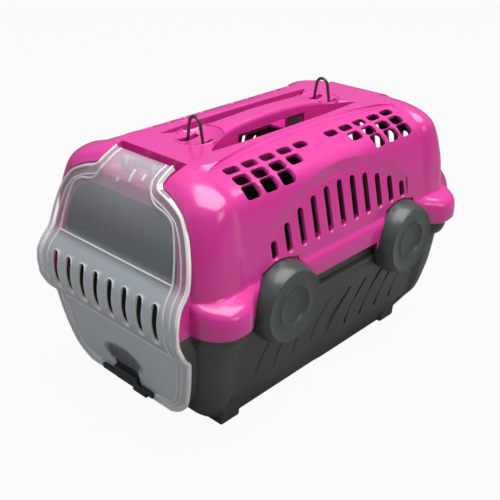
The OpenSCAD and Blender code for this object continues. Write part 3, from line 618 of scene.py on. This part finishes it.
RIM_TOP = SPLIT_Z + 27
UPPER_LEVELS = [
    (127, 0.8, 0.6, 27.4, 0.88, 0), (130, 0, 0, 28, 0.97, 0), (141, 0, 0, 28, 0.97, 0),
    (147, 0.2, 0.1, 28, 0.9, 0), (151.5, 1.2, 0.3, 28, 0.7, 0.3), (154.6, 3.2, 0.6, 28, 0.4, 0.8),
    (156.2, 4.3, 0.8, 28, 0.06, 1), (158, 4.7, 0.9, 28, 0, 1.2), (166, 5.5, 1.4, 27, 0, 1.5),
    (194, 9.5, 5, 26, 0, 3), (214.5, 13, 9.5, 26, 0, 3), (223, 15.3, 12.5, 26, 0, 3.5),
    (229.5, 18.5, 15.5, 26, 0, 4), (237, 28.5, 20.5, 25, 0, 5), (242, 40.5, 26.5, 24, 0, 6),
    (245.5, 50.5, 34.5, 22, 0, 5), (249, 55.5, 46, 18, 0, 2),
]
GRIP_HALF = 11.5
HOLLOW_HALF = 102.0
HOLLOW_OUT = 37.0
HOLLOW_FLOOR = TOP_Z - 26
LOOP_Y = 89.0
AXLE_Z = TOP_Z - 8
ARCH_HALF = 104.0
PANEL_LOW = 167.5
PANEL_TOP = TOP_Z - 34
PANEL_R = 196.0
RECESS_TOP = TOP_Z - 21
RECESS_R = 156.0
ARCH_LEAN = math.radians(12.7)


def grip_edge(y):
    return GRIP_HALF + (HOLLOW_OUT - 3 - GRIP_HALF) * (abs(y) / HOLLOW_HALF) ** 4


def grip():
    """The grip: an arched bar with rounded edges that widens to both ends."""
    rings = []
    for k in range(45):
        t = -1 + 2 * k / 44
        y = t * HOLLOW_HALF
        half, top, under = grip_edge(y), TOP_Z + 8 * (1 - t * t), TOP_Z - 9
        r = min(4.5, (top - under) / 2 - 0.2)
        ring = []
        for turn, (cx, cz) in enumerate([(half - r, top - r), (r - half, top - r)]):
            for step in range(7):
                a = math.pi / 2 * (turn + step / 6)
                ring.append(Vector((cx + r * math.cos(a), y, cz + r * math.sin(a))))
        for turn, (cx, cz) in enumerate([(1.5 - half, under + 1.5), (half - 1.5, under + 1.5)]):
            for step in range(4):
                a = math.pi / 2 * (2 + turn + step / 3)
                ring.append(Vector((cx + 1.5 * math.cos(a), y, cz + 1.5 * math.sin(a))))
        rings.append(ring)
    return loft(rings)


def hollow_plan(grow):
    ys = [-1 + 2 * k / 40 for k in range(41)]
    inner = [(grip_edge(t * HOLLOW_HALF) - grow, t * (HOLLOW_HALF + grow)) for t in ys]
    outer = [(HOLLOW_OUT + grow - 3 * abs(t) ** 3, t * (HOLLOW_HALF + grow)) for t in ys[::-1]]
    return inner + outer


def arch(radius, top, grow, low, high):
    """A round-topped arch in side view, pushed across the carrier."""
    points = []
    reach, sill = ARCH_HALF + grow, RIM_TOP + 7 - grow
    for k in range(61):
        y = reach * (1 - 2 * k / 60)
        rise = math.sqrt(max((radius + grow) ** 2 - y * y, 0))
        points.append((y, max(top - radius + rise, sill + 1)))
    return prism([(-reach, sill), (reach, sill)] + points, low, high, "X")


def beyond_panel(shift):
    """Everything outside the leaning plane of the slotted panel."""
    bm = block((0, -300, -80), (60, 300, 120))
    place = Matrix.Translation((HALF_W - 5.8 + shift, 0, PANEL_LOW))
    place = place @ Matrix.Rotation(-ARCH_LEAN, 4, "Y")
    bmesh.ops.transform(bm, matrix=place, verts=bm.verts[:])
    return bm


def beyond_recess(shift):
    """Everything outside the recess's upright wall, which follows the shell's surface."""
    line = []
    for k in range(43):
        y = 1.03 * ARCH_HALF * (k / 21 - 1)
        z = RECESS_TOP - RECESS_R + math.sqrt(RECESS_R ** 2 - y * y)
        inset = np.interp(z, [row[0] for row in UPPER_FINE], [row[1] for row in UPPER_FINE])
        line.append((HALF_W - inset + shift, y))
    far = HALF_W + 20
    return prism(line + [(far, 1.03 * ARCH_HALF), (far, -1.03 * ARCH_HALF)], SPLIT_Z, TOP_Z, "Z")


UPPER_FINE = smoothed(UPPER_LEVELS, 3.5)


def arch_recess(grow):
    """The recess round and over the panel; with grow, the solid kept behind it."""
    panel = arch(PANEL_R, PANEL_TOP, -grow, HALF_W - 42, HALF_W + 12)
    proud = carved(panel, [("DIFFERENCE", beyond_panel(-grow))])
    whole = carved(
        arch(RECESS_R, RECESS_TOP, grow, HALF_W - 40, HALF_W + 10),
        [("INTERSECT", beyond_recess(-grow)), ("DIFFERENCE", as_shape(proud))],
    )
    bpy.data.meshes.remove(proud)
    return mirrored(as_shape(whole), "X")


def slot(low, high, width, axis, across, near, far, flare=0.0):
    """A slot with round ends through a wall; the flare widens one end."""
    def ring(extra, depth):
        r = width / 2 + extra
        points = []
        for k in range(9):
            a = math.pi * k / 8
            points.append((across + r * math.cos(a), high - width / 2 + r * math.sin(a)))
        for k in range(9):
            a = math.pi * (1 + k / 8)
            points.append((across + r * math.cos(a), low + width / 2 + r * math.sin(a)))
        return [laid(point, depth, axis) for point in points]
    return [ring(0.0, near), ring(0.0, far), ring(flare, far + 12 * (flare > 0) + 0.01)]


def panel_x(z):
    return HALF_W - 5.8 - (z - PANEL_LOW) * math.tan(ARCH_LEAN)


def arch_slots():
    cuts = []
    for k in range(-5, 6):
        y = 19.0 * k
        high = PANEL_TOP - 4.5 - (181 - math.sqrt(181 ** 2 - y * y))
        straight = [Vector(point) for point in slot(PANEL_LOW, high, 7.5, "X", y, 60, 60)[0]]
        inner, outer, wide = [], [], []
        for point in straight:
            skin = panel_x(point.z)
            inner.append(Vector((70, point.y, point.z)))
            outer.append(Vector((skin - 1.0, point.y, point.z)))
            middle = Vector((skin + 1.6, y, (PANEL_LOW + high) / 2))
            away = (Vector((skin, point.y, point.z)) - middle)
            away.x = 0
            wide.append(Vector((skin + 1.2, point.y, point.z)) + away.normalized() * 1.1)
        far = [point + Vector((12, 0, 0)) for point in wide]
        cuts.append(loft([inner, outer, wide, far]))
    return mirrored(gathered(*cuts), "X")


VENT_ROWS = [(65.8, 243.6, 22, 8.0, 0), (78.0, 238.6, 29, 10.0, 1), (89.3, 231.0, 41, 13.0, 2)]


def vents():
    """Rounded vents in three rows at each corner of the roof, with eased rims."""
    cuts = []
    for x, z, slope, width, first in VENT_ROWS:
        for k in range(first, 5):
            rings = []
            for depth, extra in ((-13, 0.0), (-1.3, 0.0), (0.3, 1.0), (8, 1.6)):
                w, l, r = width / 2 + extra, 16.5 / 2 + extra, 3.2 + extra * 0.6
                ring = []
                for sx, sy, start in ((1, 1, 0), (-1, 1, 1), (-1, -1, 2), (1, -1, 3)):
                    for step in range(6):
                        a = math.pi / 2 * (start + step / 5)
                        x_in, y_in = sx * (w - r) + r * math.cos(a), sy * (l - r) + r * math.sin(a)
                        ring.append(Vector((x_in, y_in, depth)))
                rings.append(ring)
            bm = loft(rings)
            lean = Matrix.Translation((x, 22.0 * (k + 1), z))
            lean = lean @ Matrix.Rotation(math.radians(slope), 4, "Y")
            bmesh.ops.transform(bm, matrix=lean, verts=bm.verts[:])
            cuts.append(bm)
    return all_round(gathered(*cuts))


def top_facets():
    """The crescent slopes along both edges of the flat top."""
    half = 130.0
    ridge = [(41 + 18 * t * t, t * half) for t in [-1 + k / 20 for k in range(41)]]
    plan = prism(ridge + [(90, half), (90, -half)], TOP_Z - 15, TOP_Z + 15, "Z")
    slope = block((-30, -END_Y, 0), (60, END_Y, 30))
    turn = Matrix.Translation((41, 0, TOP_Z)) @ Matrix.Rotation(math.radians(13), 4, "Y")
    bmesh.ops.transform(slope, matrix=turn, verts=slope.verts[:])
    return mirrored(as_shape(carved(plan, [("INTERSECT", slope)])), "X")


def lip(out, radius):
    """A raised rounded line beside the flat top, along its crescent slopes."""
    insets = [row[1] for row in UPPER_FINE if row[0] > 200]
    heights = [row[0] for row in UPPER_FINE if row[0] > 200]
    points = []
    for k in range(61):
        t = -1 + k / 30
        x = 41 + 18 * t * t + out * (1 - t * t) ** 0.7
        on_skin = float(np.interp(HALF_W - x, insets, heights))
        on_facet = TOP_Z - (x - 41) * math.tan(math.radians(13))
        points.append((x, t * 130, min(on_skin, on_facet) - 0.45 * radius))
    return mirrored(tube(points, radius, 12), "X")


def scoop():
    """The shallow round hollow at the foot of a loop."""
    bm = bmesh.new()
    ball = (18 ** 2 + 3.8 ** 2) / 7.6
    place = Matrix.Translation((0, LOOP_Y, TOP_Z - 3.8 + ball))
    bmesh.ops.create_uvsphere(bm, u_segments=96, v_segments=96, radius=ball, matrix=place)
    return mirrored(bm, "Y")


def scoop_rim():
    """A fine raised line round a loop's hollow, where it meets the top."""
    ball = (18 ** 2 + 3.8 ** 2) / 7.6
    centre_z = TOP_Z - 3.8 + ball
    points = []
    for k in range(72):
        a, r = math.tau * k / 72, 18.0
        for _ in range(6):
            y = LOOP_Y + r * math.sin(a)
            on_grip = abs(r * math.cos(a)) < grip_edge(y)
            z = TOP_Z + 8 * max(0.0, 1 - (y / HOLLOW_HALF) ** 2) * on_grip
            r = math.sqrt(ball ** 2 - (centre_z - z) ** 2)
        points.append(Vector((r * math.cos(a), LOOP_Y + r * math.sin(a), z - 0.15)))
    front_half = tube(points[:37], 0.65, 8)
    back_half = tube(points[36:] + [points[0]], 0.65, 8)
    return front_half, back_half


def leg_slots():
    reach, lean = 11.6, 1.3
    half = 2.1 + lean / 2
    slots = [block((x - half, LOOP_Y - reach, 237), (x + half, LOOP_Y + reach, 257), 0.9)
             for x in (9.85, -9.85)]
    return mirrored(gathered(*slots), "Y")


def hinge_lugs():
    rod = (-149.0, 239.5)
    lugs = []
    for x in (-23, -13, 13, 23):
        stem = block((x - 2.5, rod[0] - 4.5, 229), (x + 2.5, rod[0] + 4.5, rod[1]))
        lug = carved(bar(4.5, (x - 2.5, *rod), (x + 2.5, *rod)), [("UNION", stem)])
        lugs.append(as_shape(lug))
    return gathered(*lugs)


def clip_lugs():
    pivot_x, pivot_z, half = 111.0, 157.8, 4.6
    near, far, low = CLIP_Y - half, CLIP_Y + half, pivot_z - 12
    lug = carved(
        bar(3.6, (pivot_x, near, pivot_z), (pivot_x, far, pivot_z)),
        [
            ("UNION", block((pivot_x - 3.6, near, low), (pivot_x + 1, far, pivot_z))),
            ("UNION", block((SEAT_X - 1, near, low), (pivot_x - 3.5, far, pivot_z - 7.4))),
            ("DIFFERENCE", bar(
                2.05, (pivot_x, CLIP_Y - 9, pivot_z), (pivot_x, CLIP_Y + 9, pivot_z),
            )),
        ],
    )
    return all_round(as_shape(lug))


def pin_room(radius, half):
    return all_round(bar(radius, (111.0, CLIP_Y - half, 157.8), (111.0, CLIP_Y + half, 157.8)))


def clip_sweep():
    """The groove that each clip's top edge turns in, no wider than the edge needs."""
    rings = []
    for k in range(29):
        y = 24.0 * (k / 14 - 1)
        above = max(math.sqrt(38.0 ** 2 - y * y) - 30.8, 0.0)
        r = math.hypot(6.9, above) + 0.45
        rings.append([Vector((111 + r * math.cos(a), CLIP_Y + y, 157.8 + r * math.sin(a)))
                      for a in [math.tau * n / 64 for n in range(64)]])
    return all_round(loft(rings))


def rear_slots():
    rings = []
    for k in range(8):
        rings.append(loft(slot(SPLIT_Z + 30, TOP_Z - 45, 8.5, "Y", (k - 3.5) * 19.6, 145.0, 225.0)))
    return gathered(*rings)


roof_solids = [
    ("DIFFERENCE", mirrored(prism(hollow_plan(WALL), HOLLOW_FLOOR - WALL, TOP_Z, "Z"), "X")),
    ("DIFFERENCE", grip()),
    ("DIFFERENCE", block((-45, -END_Y, 227), (45, -134, TOP_Z))),
    ("DIFFERENCE", arch_recess(WALL)),
    ("DIFFERENCE", clip_seats(SEAT_X - 6, SEAT_X)),
    ("DIFFERENCE", pin_room(13.3, 28.0)),
    ("DIFFERENCE", mirrored(bar(16, (0, LOOP_Y, 241), (0, LOOP_Y, 249)), "Y")),
]
upper_cavity = loft([
    outline(level, WALL, -WALL * eased((level[0] - 166) / 28) - (level[0] < 127.5))
    for level in UPPER_FINE
])
upper_cavity = carved(upper_cavity, [("UNION", as_shape(rear_hollow_mesh))] + roof_solids)
upper_mesh = carved(
    loft([outline(level) for level in UPPER_FINE]),
    [
        ("UNION", end_frame(SPLIT_Z, TOP_Z)),
        ("UNION", grip()),
        ("DIFFERENCE", as_shape(upper_cavity)),
        ("DIFFERENCE", doorway()),
        ("DIFFERENCE", door_room()),
        ("DIFFERENCE", block((-42, -END_Y - 10, 230), (42, -137, TOP_Z + 5))),
        ("DIFFERENCE", top_facets()),
        ("DIFFERENCE", as_shape(carved(
            mirrored(prism(hollow_plan(0.0), HOLLOW_FLOOR, TOP_Z + 10, "Z"), "X"),
            [("DIFFERENCE", grip())],
        ))),
        ("DIFFERENCE", block((-33, -47, 219), (33, 47, TOP_Z - 3.5), 1.5)),
        ("DIFFERENCE", arch_recess(0.0)),
        ("DIFFERENCE", arch_slots()),
        ("DIFFERENCE", vents()),
        ("DIFFERENCE", mirrored(block((94, -48, 126), (115, 48, 135), 0.0), "X")),
        ("DIFFERENCE", scoop()),
        ("DIFFERENCE", leg_slots()),
        ("DIFFERENCE", mirrored(
            block((-8.3, LOOP_Y - 11.3, 235.5), (8.3, LOOP_Y + 11.3, 241.1)), "Y")),
        ("DIFFERENCE", clip_seats(SEAT_X, SEAT_X + 60)),
        ("DIFFERENCE", clip_sweep()),
        ("DIFFERENCE", rear_slots()),
        *[("UNION", mirrored(half, "Y")) for half in scoop_rim()],
        ("UNION", lip(0.0, 1.2)),
        ("UNION", lip(8.0, 0.9)),
        ("UNION", clip_lugs()),
        ("UNION", hinge_lugs()),
    ],
)
upper_plastic = moulded(
    "upper_plastic", colour(214, 52, 150), 0.24, grain=0.08, shade=0.08, coat=0.5)
# the inside gets a rougher, grainier finish and a darker copy of the magenta; the darker colour is
# painted shade
upper_inside = moulded("upper_inside", colour(112, 24, 78), 0.6, grain=0.5, rounding=0.0)
upper_mesh.materials.append(upper_plastic)
upper_mesh.materials.append(upper_inside)
# inward faces, outside the hollows and away from the ends, take the painted-shade inside colour
for side in upper_mesh.polygons:
    middle = side.center
    inward = side.normal.dot(Vector((0, 0, 130)) - middle) > 0
    hollow = abs(middle.x) < 43 and middle.z > 222
    side.material_index = int(inward and not hollow and abs(middle.y) < END_Y - 6)
finished("upper_cover", upper_mesh, "carrier", ["upper_shell"])

# ---------------------------------------------------------------- front door
# One moulding in frosted see-through plastic, hung at its top edge: a bulged slotted
# belt between two flat panels, and raised lines that stiffen its border.

face_heights = face_line[::-1, 1]
face_places = face_line[::-1, 0]


def on_face(x, z, out=0.0, radius=0.0):
    """A point of the door's face or just outside it, never past the belt's crest."""
    y = float(np.interp(z, face_heights, face_places)) - out
    return Vector((x, max(y, -END_Y - 19 + radius + 0.03), z))


def door_shell():
    inner = shifted(face_line, DOOR_T)
    section = face_line.tolist() + inner[::-1].tolist()
    sheet = prism(section, -HALF_W, HALF_W, "X")
    return carved(sheet, [("INTERSECT", edge_block(0.0, -END_Y - 40, -END_Y + 60))])


def belt_slots():
    cuts = []
    for k in range(8):
        cuts.append(loft(slot(115.5, 154.5, 8.5, "Y", (k - 3.5) * 19.6, -225.0, -175.0)))
    return gathered(*cuts)


ROD_Y, ROD_Z = -149.0, 239.5
ears = gathered(*[
    as_shape(carved(
        bar(4.5, (x - 1.9, ROD_Y, ROD_Z), (x + 1.9, ROD_Y, ROD_Z)),
        [("UNION", block((x - 1.9, ROD_Y - 4.5, ROD_Z), (x + 1.9, ROD_Y + 1, 245.5)))],
    )) for x in (-18, 18)
])
door_mesh = door_shell()
door_mesh = carved(
    as_shape(door_mesh),
    [
        ("UNION", ears),
        ("DIFFERENCE", belt_slots()),
        ("DIFFERENCE", on_panel(block((-16.9, -5, -5), (16.9, DOOR_T + 5, 24)))),
        ("DIFFERENCE", bar(2.08, (-30, ROD_Y, ROD_Z), (30, ROD_Y, ROD_Z))),
    ],
)
door_clear = moulded(
    "door_plastic", colour(214, 223, 230), 0.22, grain=0.1, shade=0.05, rounding=0.0, alpha=0.36)
# the belt and the panel below it are made more opaque, and so paler, than the upper window: partly
# the window's smoother, clearer plastic, partly painted light on the lower door
frosted = door_clear.node_tree
door_place = frosted.nodes.new("ShaderNodeTexCoord")
door_height = frosted.nodes.new("ShaderNodeSeparateXYZ")
link(frosted, door_place.outputs["Object"], door_height.inputs[0])
as_share = frosted.nodes.new("ShaderNodeMath")
as_share.operation = "MULTIPLY"
as_share.inputs[1].default_value = 4.0
frost_and_light = frosted.nodes.new("ShaderNodeValToRGB")
stops = frost_and_light.color_ramp.elements
FROST_AND_PAINTED_LIGHT = [(0.135, 0.72), (0.164, 0.38), (0.173, 0.14), (0.188, 0.15), (0.222, 0.3)]
for number, (z, amount) in enumerate(FROST_AND_PAINTED_LIGHT):
    stop = stops[number] if number < 2 else stops.new(4 * z)
    stop.position = 4 * z
    stop.color = (amount, amount, amount, 1.0)
link(frosted, door_height.outputs["Z"], as_share.inputs[0])
link(frosted, as_share.outputs[0], frost_and_light.inputs["Fac"])
# and are made clearer where the latch's head lies against them, so the dark head shows through:
# painted shadow where the head touches the sheet
around_head = frosted.nodes.new("ShaderNodeMapping")
around_head.inputs["Location"].default_value = (0.1, 0.0, -4.48)
around_head.inputs["Scale"].default_value = (33.0, 0.0, 74.0)
painted_head_shadow = frosted.nodes.new("ShaderNodeTexGradient")
painted_head_shadow.gradient_type = "SPHERICAL"
at_head = frosted.nodes.new("ShaderNodeMapRange")
at_head.inputs["From Max"].default_value = 0.25
clearer = frosted.nodes.new("ShaderNodeMath")
clearer.operation = "MULTIPLY_ADD"
clearer.inputs[1].default_value = -0.6
link(frosted, door_place.outputs["Object"], around_head.inputs["Vector"])
link(frosted, around_head.outputs[0], painted_head_shadow.inputs["Vector"])
link(frosted, painted_head_shadow.outputs["Fac"], at_head.inputs["Value"])
link(frosted, at_head.outputs[0], clearer.inputs[0])
link(frosted, frost_and_light.outputs[0], clearer.inputs[2])
link(frosted, clearer.outputs[0], frosted.nodes["Principled BSDF"].inputs["Alpha"])
# the slot walls and side edges get a nearly opaque, whiter copy of the door plastic: denser where
# one looks along the sheet's thickness, whiter as painted light on the edges
door_cut_edge_lit = moulded(
    "door_cut_edge_lit", colour(248, 246, 242), 0.3, grain=0.1, rounding=0.0, alpha=0.97)
door_mesh.materials.append(door_clear)
door_mesh.materials.append(door_cut_edge_lit)
# faces turned sideways take the whiter edge copy, painted light
for side in door_mesh.polygons:
    side.material_index = int(abs(side.normal.x) > 0.35)
finished("clear_door", door_mesh, "door", ["front_door"], sharp=25.0)


def border(inset, radius):
    """A strand round the door, an inset in from its edge."""
    drawn_in = shifted(edge_line, -inset)
    half = [on_face(x, z, 0.1, radius) for x, z in drawn_in if z > 29 + inset * 0.8]
    return tube(half + [Vector((-p.x, p.y, p.z)) for p in half[::-1]], radius)


WINDOW_LINE = [
    (31.7, 238.5), (34.2, 231.8), (38.4, 226.2), (44, 223.3), (54.7, 221.1), (64.5, 216),
    (68, 209.7), (71.3, 199.5), (74.6, 184.5), (77.2, 166.6), (79.5, 150), (81, 135),
    (80.5, 118), (78, 100), (75.5, 80), (72, 62), (66, 48), (58, 41), (40, 38.5),
]
window_half = [on_face(x, z, 0.2, 0.9) for x, z in smoothed(WINDOW_LINE, 2.5)]
door_lines = [
    border(1.3, 1.15), border(8.5, 0.75),
    tube(window_half, 0.9), tube([Vector((-p.x, p.y, p.z)) for p in window_half], 0.9),
    tube([on_face(x, 169.0, 0.2) for x in np.linspace(-76, 76, 20)], 0.9),
    tube([on_face(x, 99.5, 0.3) for x in np.linspace(-77, 77, 20)], 1.3),
]
for k in range(8):
    middle = (k - 3.5) * 19.6
    ring = [on_face(p.x, p.z, 0.1, 0.65) for p in slot(115.5, 154.5, 9.6, "Y", middle, 0, 0)[0]]
    door_lines.append(tube(ring + [ring[0]], 0.65, 8))
for x, z, lower in ((5.0, 241.0, 232.5), (19.0, 240.5, 236.5), (-10.1, 232.0, 229.0)):
    rib = [on_face(x, at, -1.2) for at in (z, (z + lower) / 2, lower)]
    door_lines.append(tube(rib, 1.4))
lines_bm = gathered(*door_lines)
lines_mesh = bpy.data.meshes.new("door_lines")
lines_bm.to_mesh(lines_mesh)
lines_bm.free()
# the raised lines are real ridges, denser where the plastic is thicker; their whiter colour than
# the sheet's is painted highlight
raised_line = moulded(
    "door_raised_line_highlight", colour(246, 244, 245), 0.2, grain=0.1, rounding=0.0, alpha=0.74)
lines_mesh.materials.append(raised_line)
finished("door_lines", lines_mesh, "door")

# ---------------------------------------------------------------- door latch
# Dark moulding in the notch of the door's lower edge: a flat head inside, a neck, and
# outside a bar with a thumb nub; it slides down to lock into the sill. Its colour is painted
# darker than the tray's plastic, as painted shade on the bar that faces down.

latch_parts = [
    block((-36, -4, 4.2), (36, -0.4, 10), 0.8),
    block((9, -5, 1.4), (28, -0.4, 4.8), 0.8),
    block((-16.5, -3.6, 3.2), (16.5, DOOR_T, 17.6), 0.4),
    block((-16.5, 0, 16), (16.5, 3.9, 23.6), 0.4),
    block((-28, 2.9, 18), (28, 5.4, 44), 0.9),
    block((-10, 5.0, 12.4), (10, 8.9, 26), 0.5),
]
ribs = [block((x, 2.3, 20), (x + 1.4, 3.4, 33), 0.3) for x in (-26, -22.5, -19, -15.5)]
latch_mesh = carved(latch_parts[0], [("UNION", part) for part in latch_parts[1:] + ribs])
latch_shape = on_panel(as_shape(latch_mesh))
latch_shape.to_mesh(latch_mesh)
latch_shape.free()
# the latch is coloured darker than the tray: painted shade
latch_mesh.materials.append(moulded("latch_plastic", colour(34, 34, 36), 0.38, grain=0.4))
finished("latch", latch_mesh, "latch", ["door_latch"])

# ---------------------------------------------------------------- round clips
# Four thick dark discs that hinge on pins in the upper shell and hook under the lower
# one: a domed tread, a thin bright edge round the face, and a shallow dish.

CLIP_PROFILE = [
    (104.5, 38.0), (108, 38.0), (112, 37.7), (116, 36.9), (119, 35.9), (121, 34.9), (122.6, 33.9),
    (123.4, 33.3), (123.6, 32.7), (123.4, 32.1), (122.8, 30.5), (122.3, 27.5), (122.1, 24),
    (122.3, 20.4), (122.9, 19.5), (123.1, 18.9), (122.8, 18.4), (121.4, 17.2), (120.2, 14.8),
    (119.3, 11.5), (118.9, 7), (118.8, 0.0),
]
CLIP_INSIDE = [
    (116.4, 0.0), (116.8, 12), (118.4, 16), (119.8, 18), (120, 27), (118.6, 31.2),
    (114, 34.2), (104.5, 35.6),
]


def clip():
    """A clip as a turned shell, its hook and ears joined on."""
    bm = bmesh.new()
    profile = smoothed(CLIP_PROFILE, 1.6)
    section = [tuple(row) for row in profile] + CLIP_INSIDE
    verts = [bm.verts.new((x, 0, max(r, 0.0))) for x, r in section]
    edges = [bm.edges.new(pair) for pair in zip(verts, verts[1:])]
    edges.append(bm.edges.new((verts[-1], verts[0])))
    bmesh.ops.spin(bm, geom=verts + edges, axis=(1, 0, 0), cent=(0, 0, 0), steps=96,
                   angle=math.tau, use_merge=True, use_duplicate=False)
    bmesh.ops.remove_doubles(bm, verts=bm.verts[:], dist=0.01)
    bmesh.ops.dissolve_degenerate(bm, edges=bm.edges[:], dist=0.005)
    bmesh.ops.translate(bm, verts=bm.verts[:], vec=(0, CLIP_Y, SPLIT_Z))
    bmesh.ops.recalc_face_normals(bm, faces=bm.faces[:])
    return bm


def clip_mesh(right, front):
    ears_and_hook = [
        ("UNION", block((106, CLIP_Y - 7, 98), (121.7, CLIP_Y + 7, 100.6), 0.4)),
    ]
    for y in (CLIP_Y - 6.6, CLIP_Y + 6.6):
        ears_and_hook.append(("UNION", bar(3.6, (111, y - 1.6, 157.8), (111, y + 1.6, 157.8))))
        ears_and_hook.append(("UNION", block((108, y - 1.6, 157.8), (114, y + 1.6, 162.5))))
    pin_hole = bar(2.08, (111, CLIP_Y - 12, 157.8), (111, CLIP_Y + 12, 157.8))
    ears_and_hook.append(("DIFFERENCE", pin_hole))
    shape = as_shape(carved(clip(), ears_and_hook))
    bmesh.ops.scale(shape, verts=shape.verts[:], vec=(1 if right else -1, -1 if front else 1, 1))
    bmesh.ops.recalc_face_normals(shape, faces=shape.faces[:])
    mesh = bpy.data.meshes.new("clip")
    shape.to_mesh(mesh)
    shape.free()
    return mesh


clip_plastic = moulded("clip_plastic", colour(62, 71, 68), 0.31, grain=0.2, coat=0.15)
for end in ("front", "rear"):
    for hand in ("right", "left"):
        mesh = clip_mesh(hand == "right", end == "front")
        mesh.materials.append(clip_plastic)
        finished(f"round_clip_{end}_{hand}", mesh, f"{end}_{hand}_clip",
                 [f"clip_{end}_{hand}"])

# ---------------------------------------------------------------- strap loops and steel
# Two bent wire loops, held against the roof from inside by screwed keepers; the clips
# and the door turn on plain steel pins. The hidden pieces keep their solid's shape.


def metal(name, tint, roughness):
    """Steel with fine drawn lines and a few darker stains."""
    material = bpy.data.materials.new(name)
    material.use_nodes = True
    tree = material.node_tree
    skin = tree.nodes["Principled BSDF"]
    skin.inputs["Metallic"].default_value = 0.85
    look = tree.nodes.new("ShaderNodeGroup")
    look.node_tree = moulded_finish
    look.inputs["Colour"].default_value = tint
    look.inputs["Shade"].default_value = 0.5
    look.inputs["Roughness"].default_value = roughness
    look.inputs["Grain"].default_value = 0.6
    bump = tree.nodes.new("ShaderNodeBump")
    bump.inputs["Distance"].default_value = 0.0001
    link(tree, look.outputs["Colour"], skin.inputs["Base Color"])
    link(tree, look.outputs["Roughness"], skin.inputs["Roughness"])
    link(tree, look.outputs["Height"], bump.inputs["Height"])
    link(tree, bump.outputs["Normal"], skin.inputs["Normal"])
    return material


WIRE_R = 1.5
LOOP_HALF = 10.5
LOOP_BEND = 7.0
bend_z = TOP_Z + 21.5 - WIRE_R - LOOP_BEND
leg_rise = bend_z - AXLE_Z
leg_lean = math.atan(LOOP_HALF / leg_rise) - math.asin(LOOP_BEND / math.hypot(LOOP_HALF, leg_rise))
wire = metal("wire", colour(92, 84, 82), 0.32)


def wire_loop(side):
    """A loop of wire as one closed strand."""
    y = side * LOOP_Y
    bend = []
    for k in range(25):
        a = leg_lean + (math.pi - 2 * leg_lean) * k / 24
        bend.append((LOOP_BEND * math.cos(a), y, bend_z + LOOP_BEND * math.sin(a)))
    foot_r = 2.2
    right = [(LOOP_HALF - foot_r * (1 - math.sin(a)), y, AXLE_Z + foot_r * (1 - math.cos(a)))
             for a in [math.pi / 2 * k / 6 for k in range(7)]]
    left = [(-x, y, z) for x, _, z in right[::-1]]
    path = [(0, y, AXLE_Z)] + right + bend + left + [(0.02, y, AXLE_Z)]
    return tube(path, WIRE_R, 16)


for end, side in (("front", -1), ("rear", 1)):
    strand = wire_loop(side)
    mesh = bpy.data.meshes.new("loop")
    strand.to_mesh(mesh)
    strand.free()
    mesh.materials.append(wire)
    finished(f"strap_loop_{end}", mesh, f"{end}_loop", [f"loop_{end}"], sharp=60.0)

steel = metal("steel", colour(150, 148, 144), 0.3)
FINISHES = {
    "door_hinge_rod": steel, "keeper_screws_front": steel, "keeper_screws_rear": steel,
    "loop_keeper_front": upper_plastic, "loop_keeper_rear": upper_plastic,
}
for end in ("front", "rear"):
    for hand in ("right", "left"):
        FINISHES[f"clip_pin_{end}_{hand}"] = steel
for node, finish in FINISHES.items():
    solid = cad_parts[node]
    for solid_slot in solid.material_slots:
        solid_slot.material = finish

for spare in (lower_cavity, upper_cavity, rear_hollow_mesh):
    bpy.data.meshes.remove(spare)
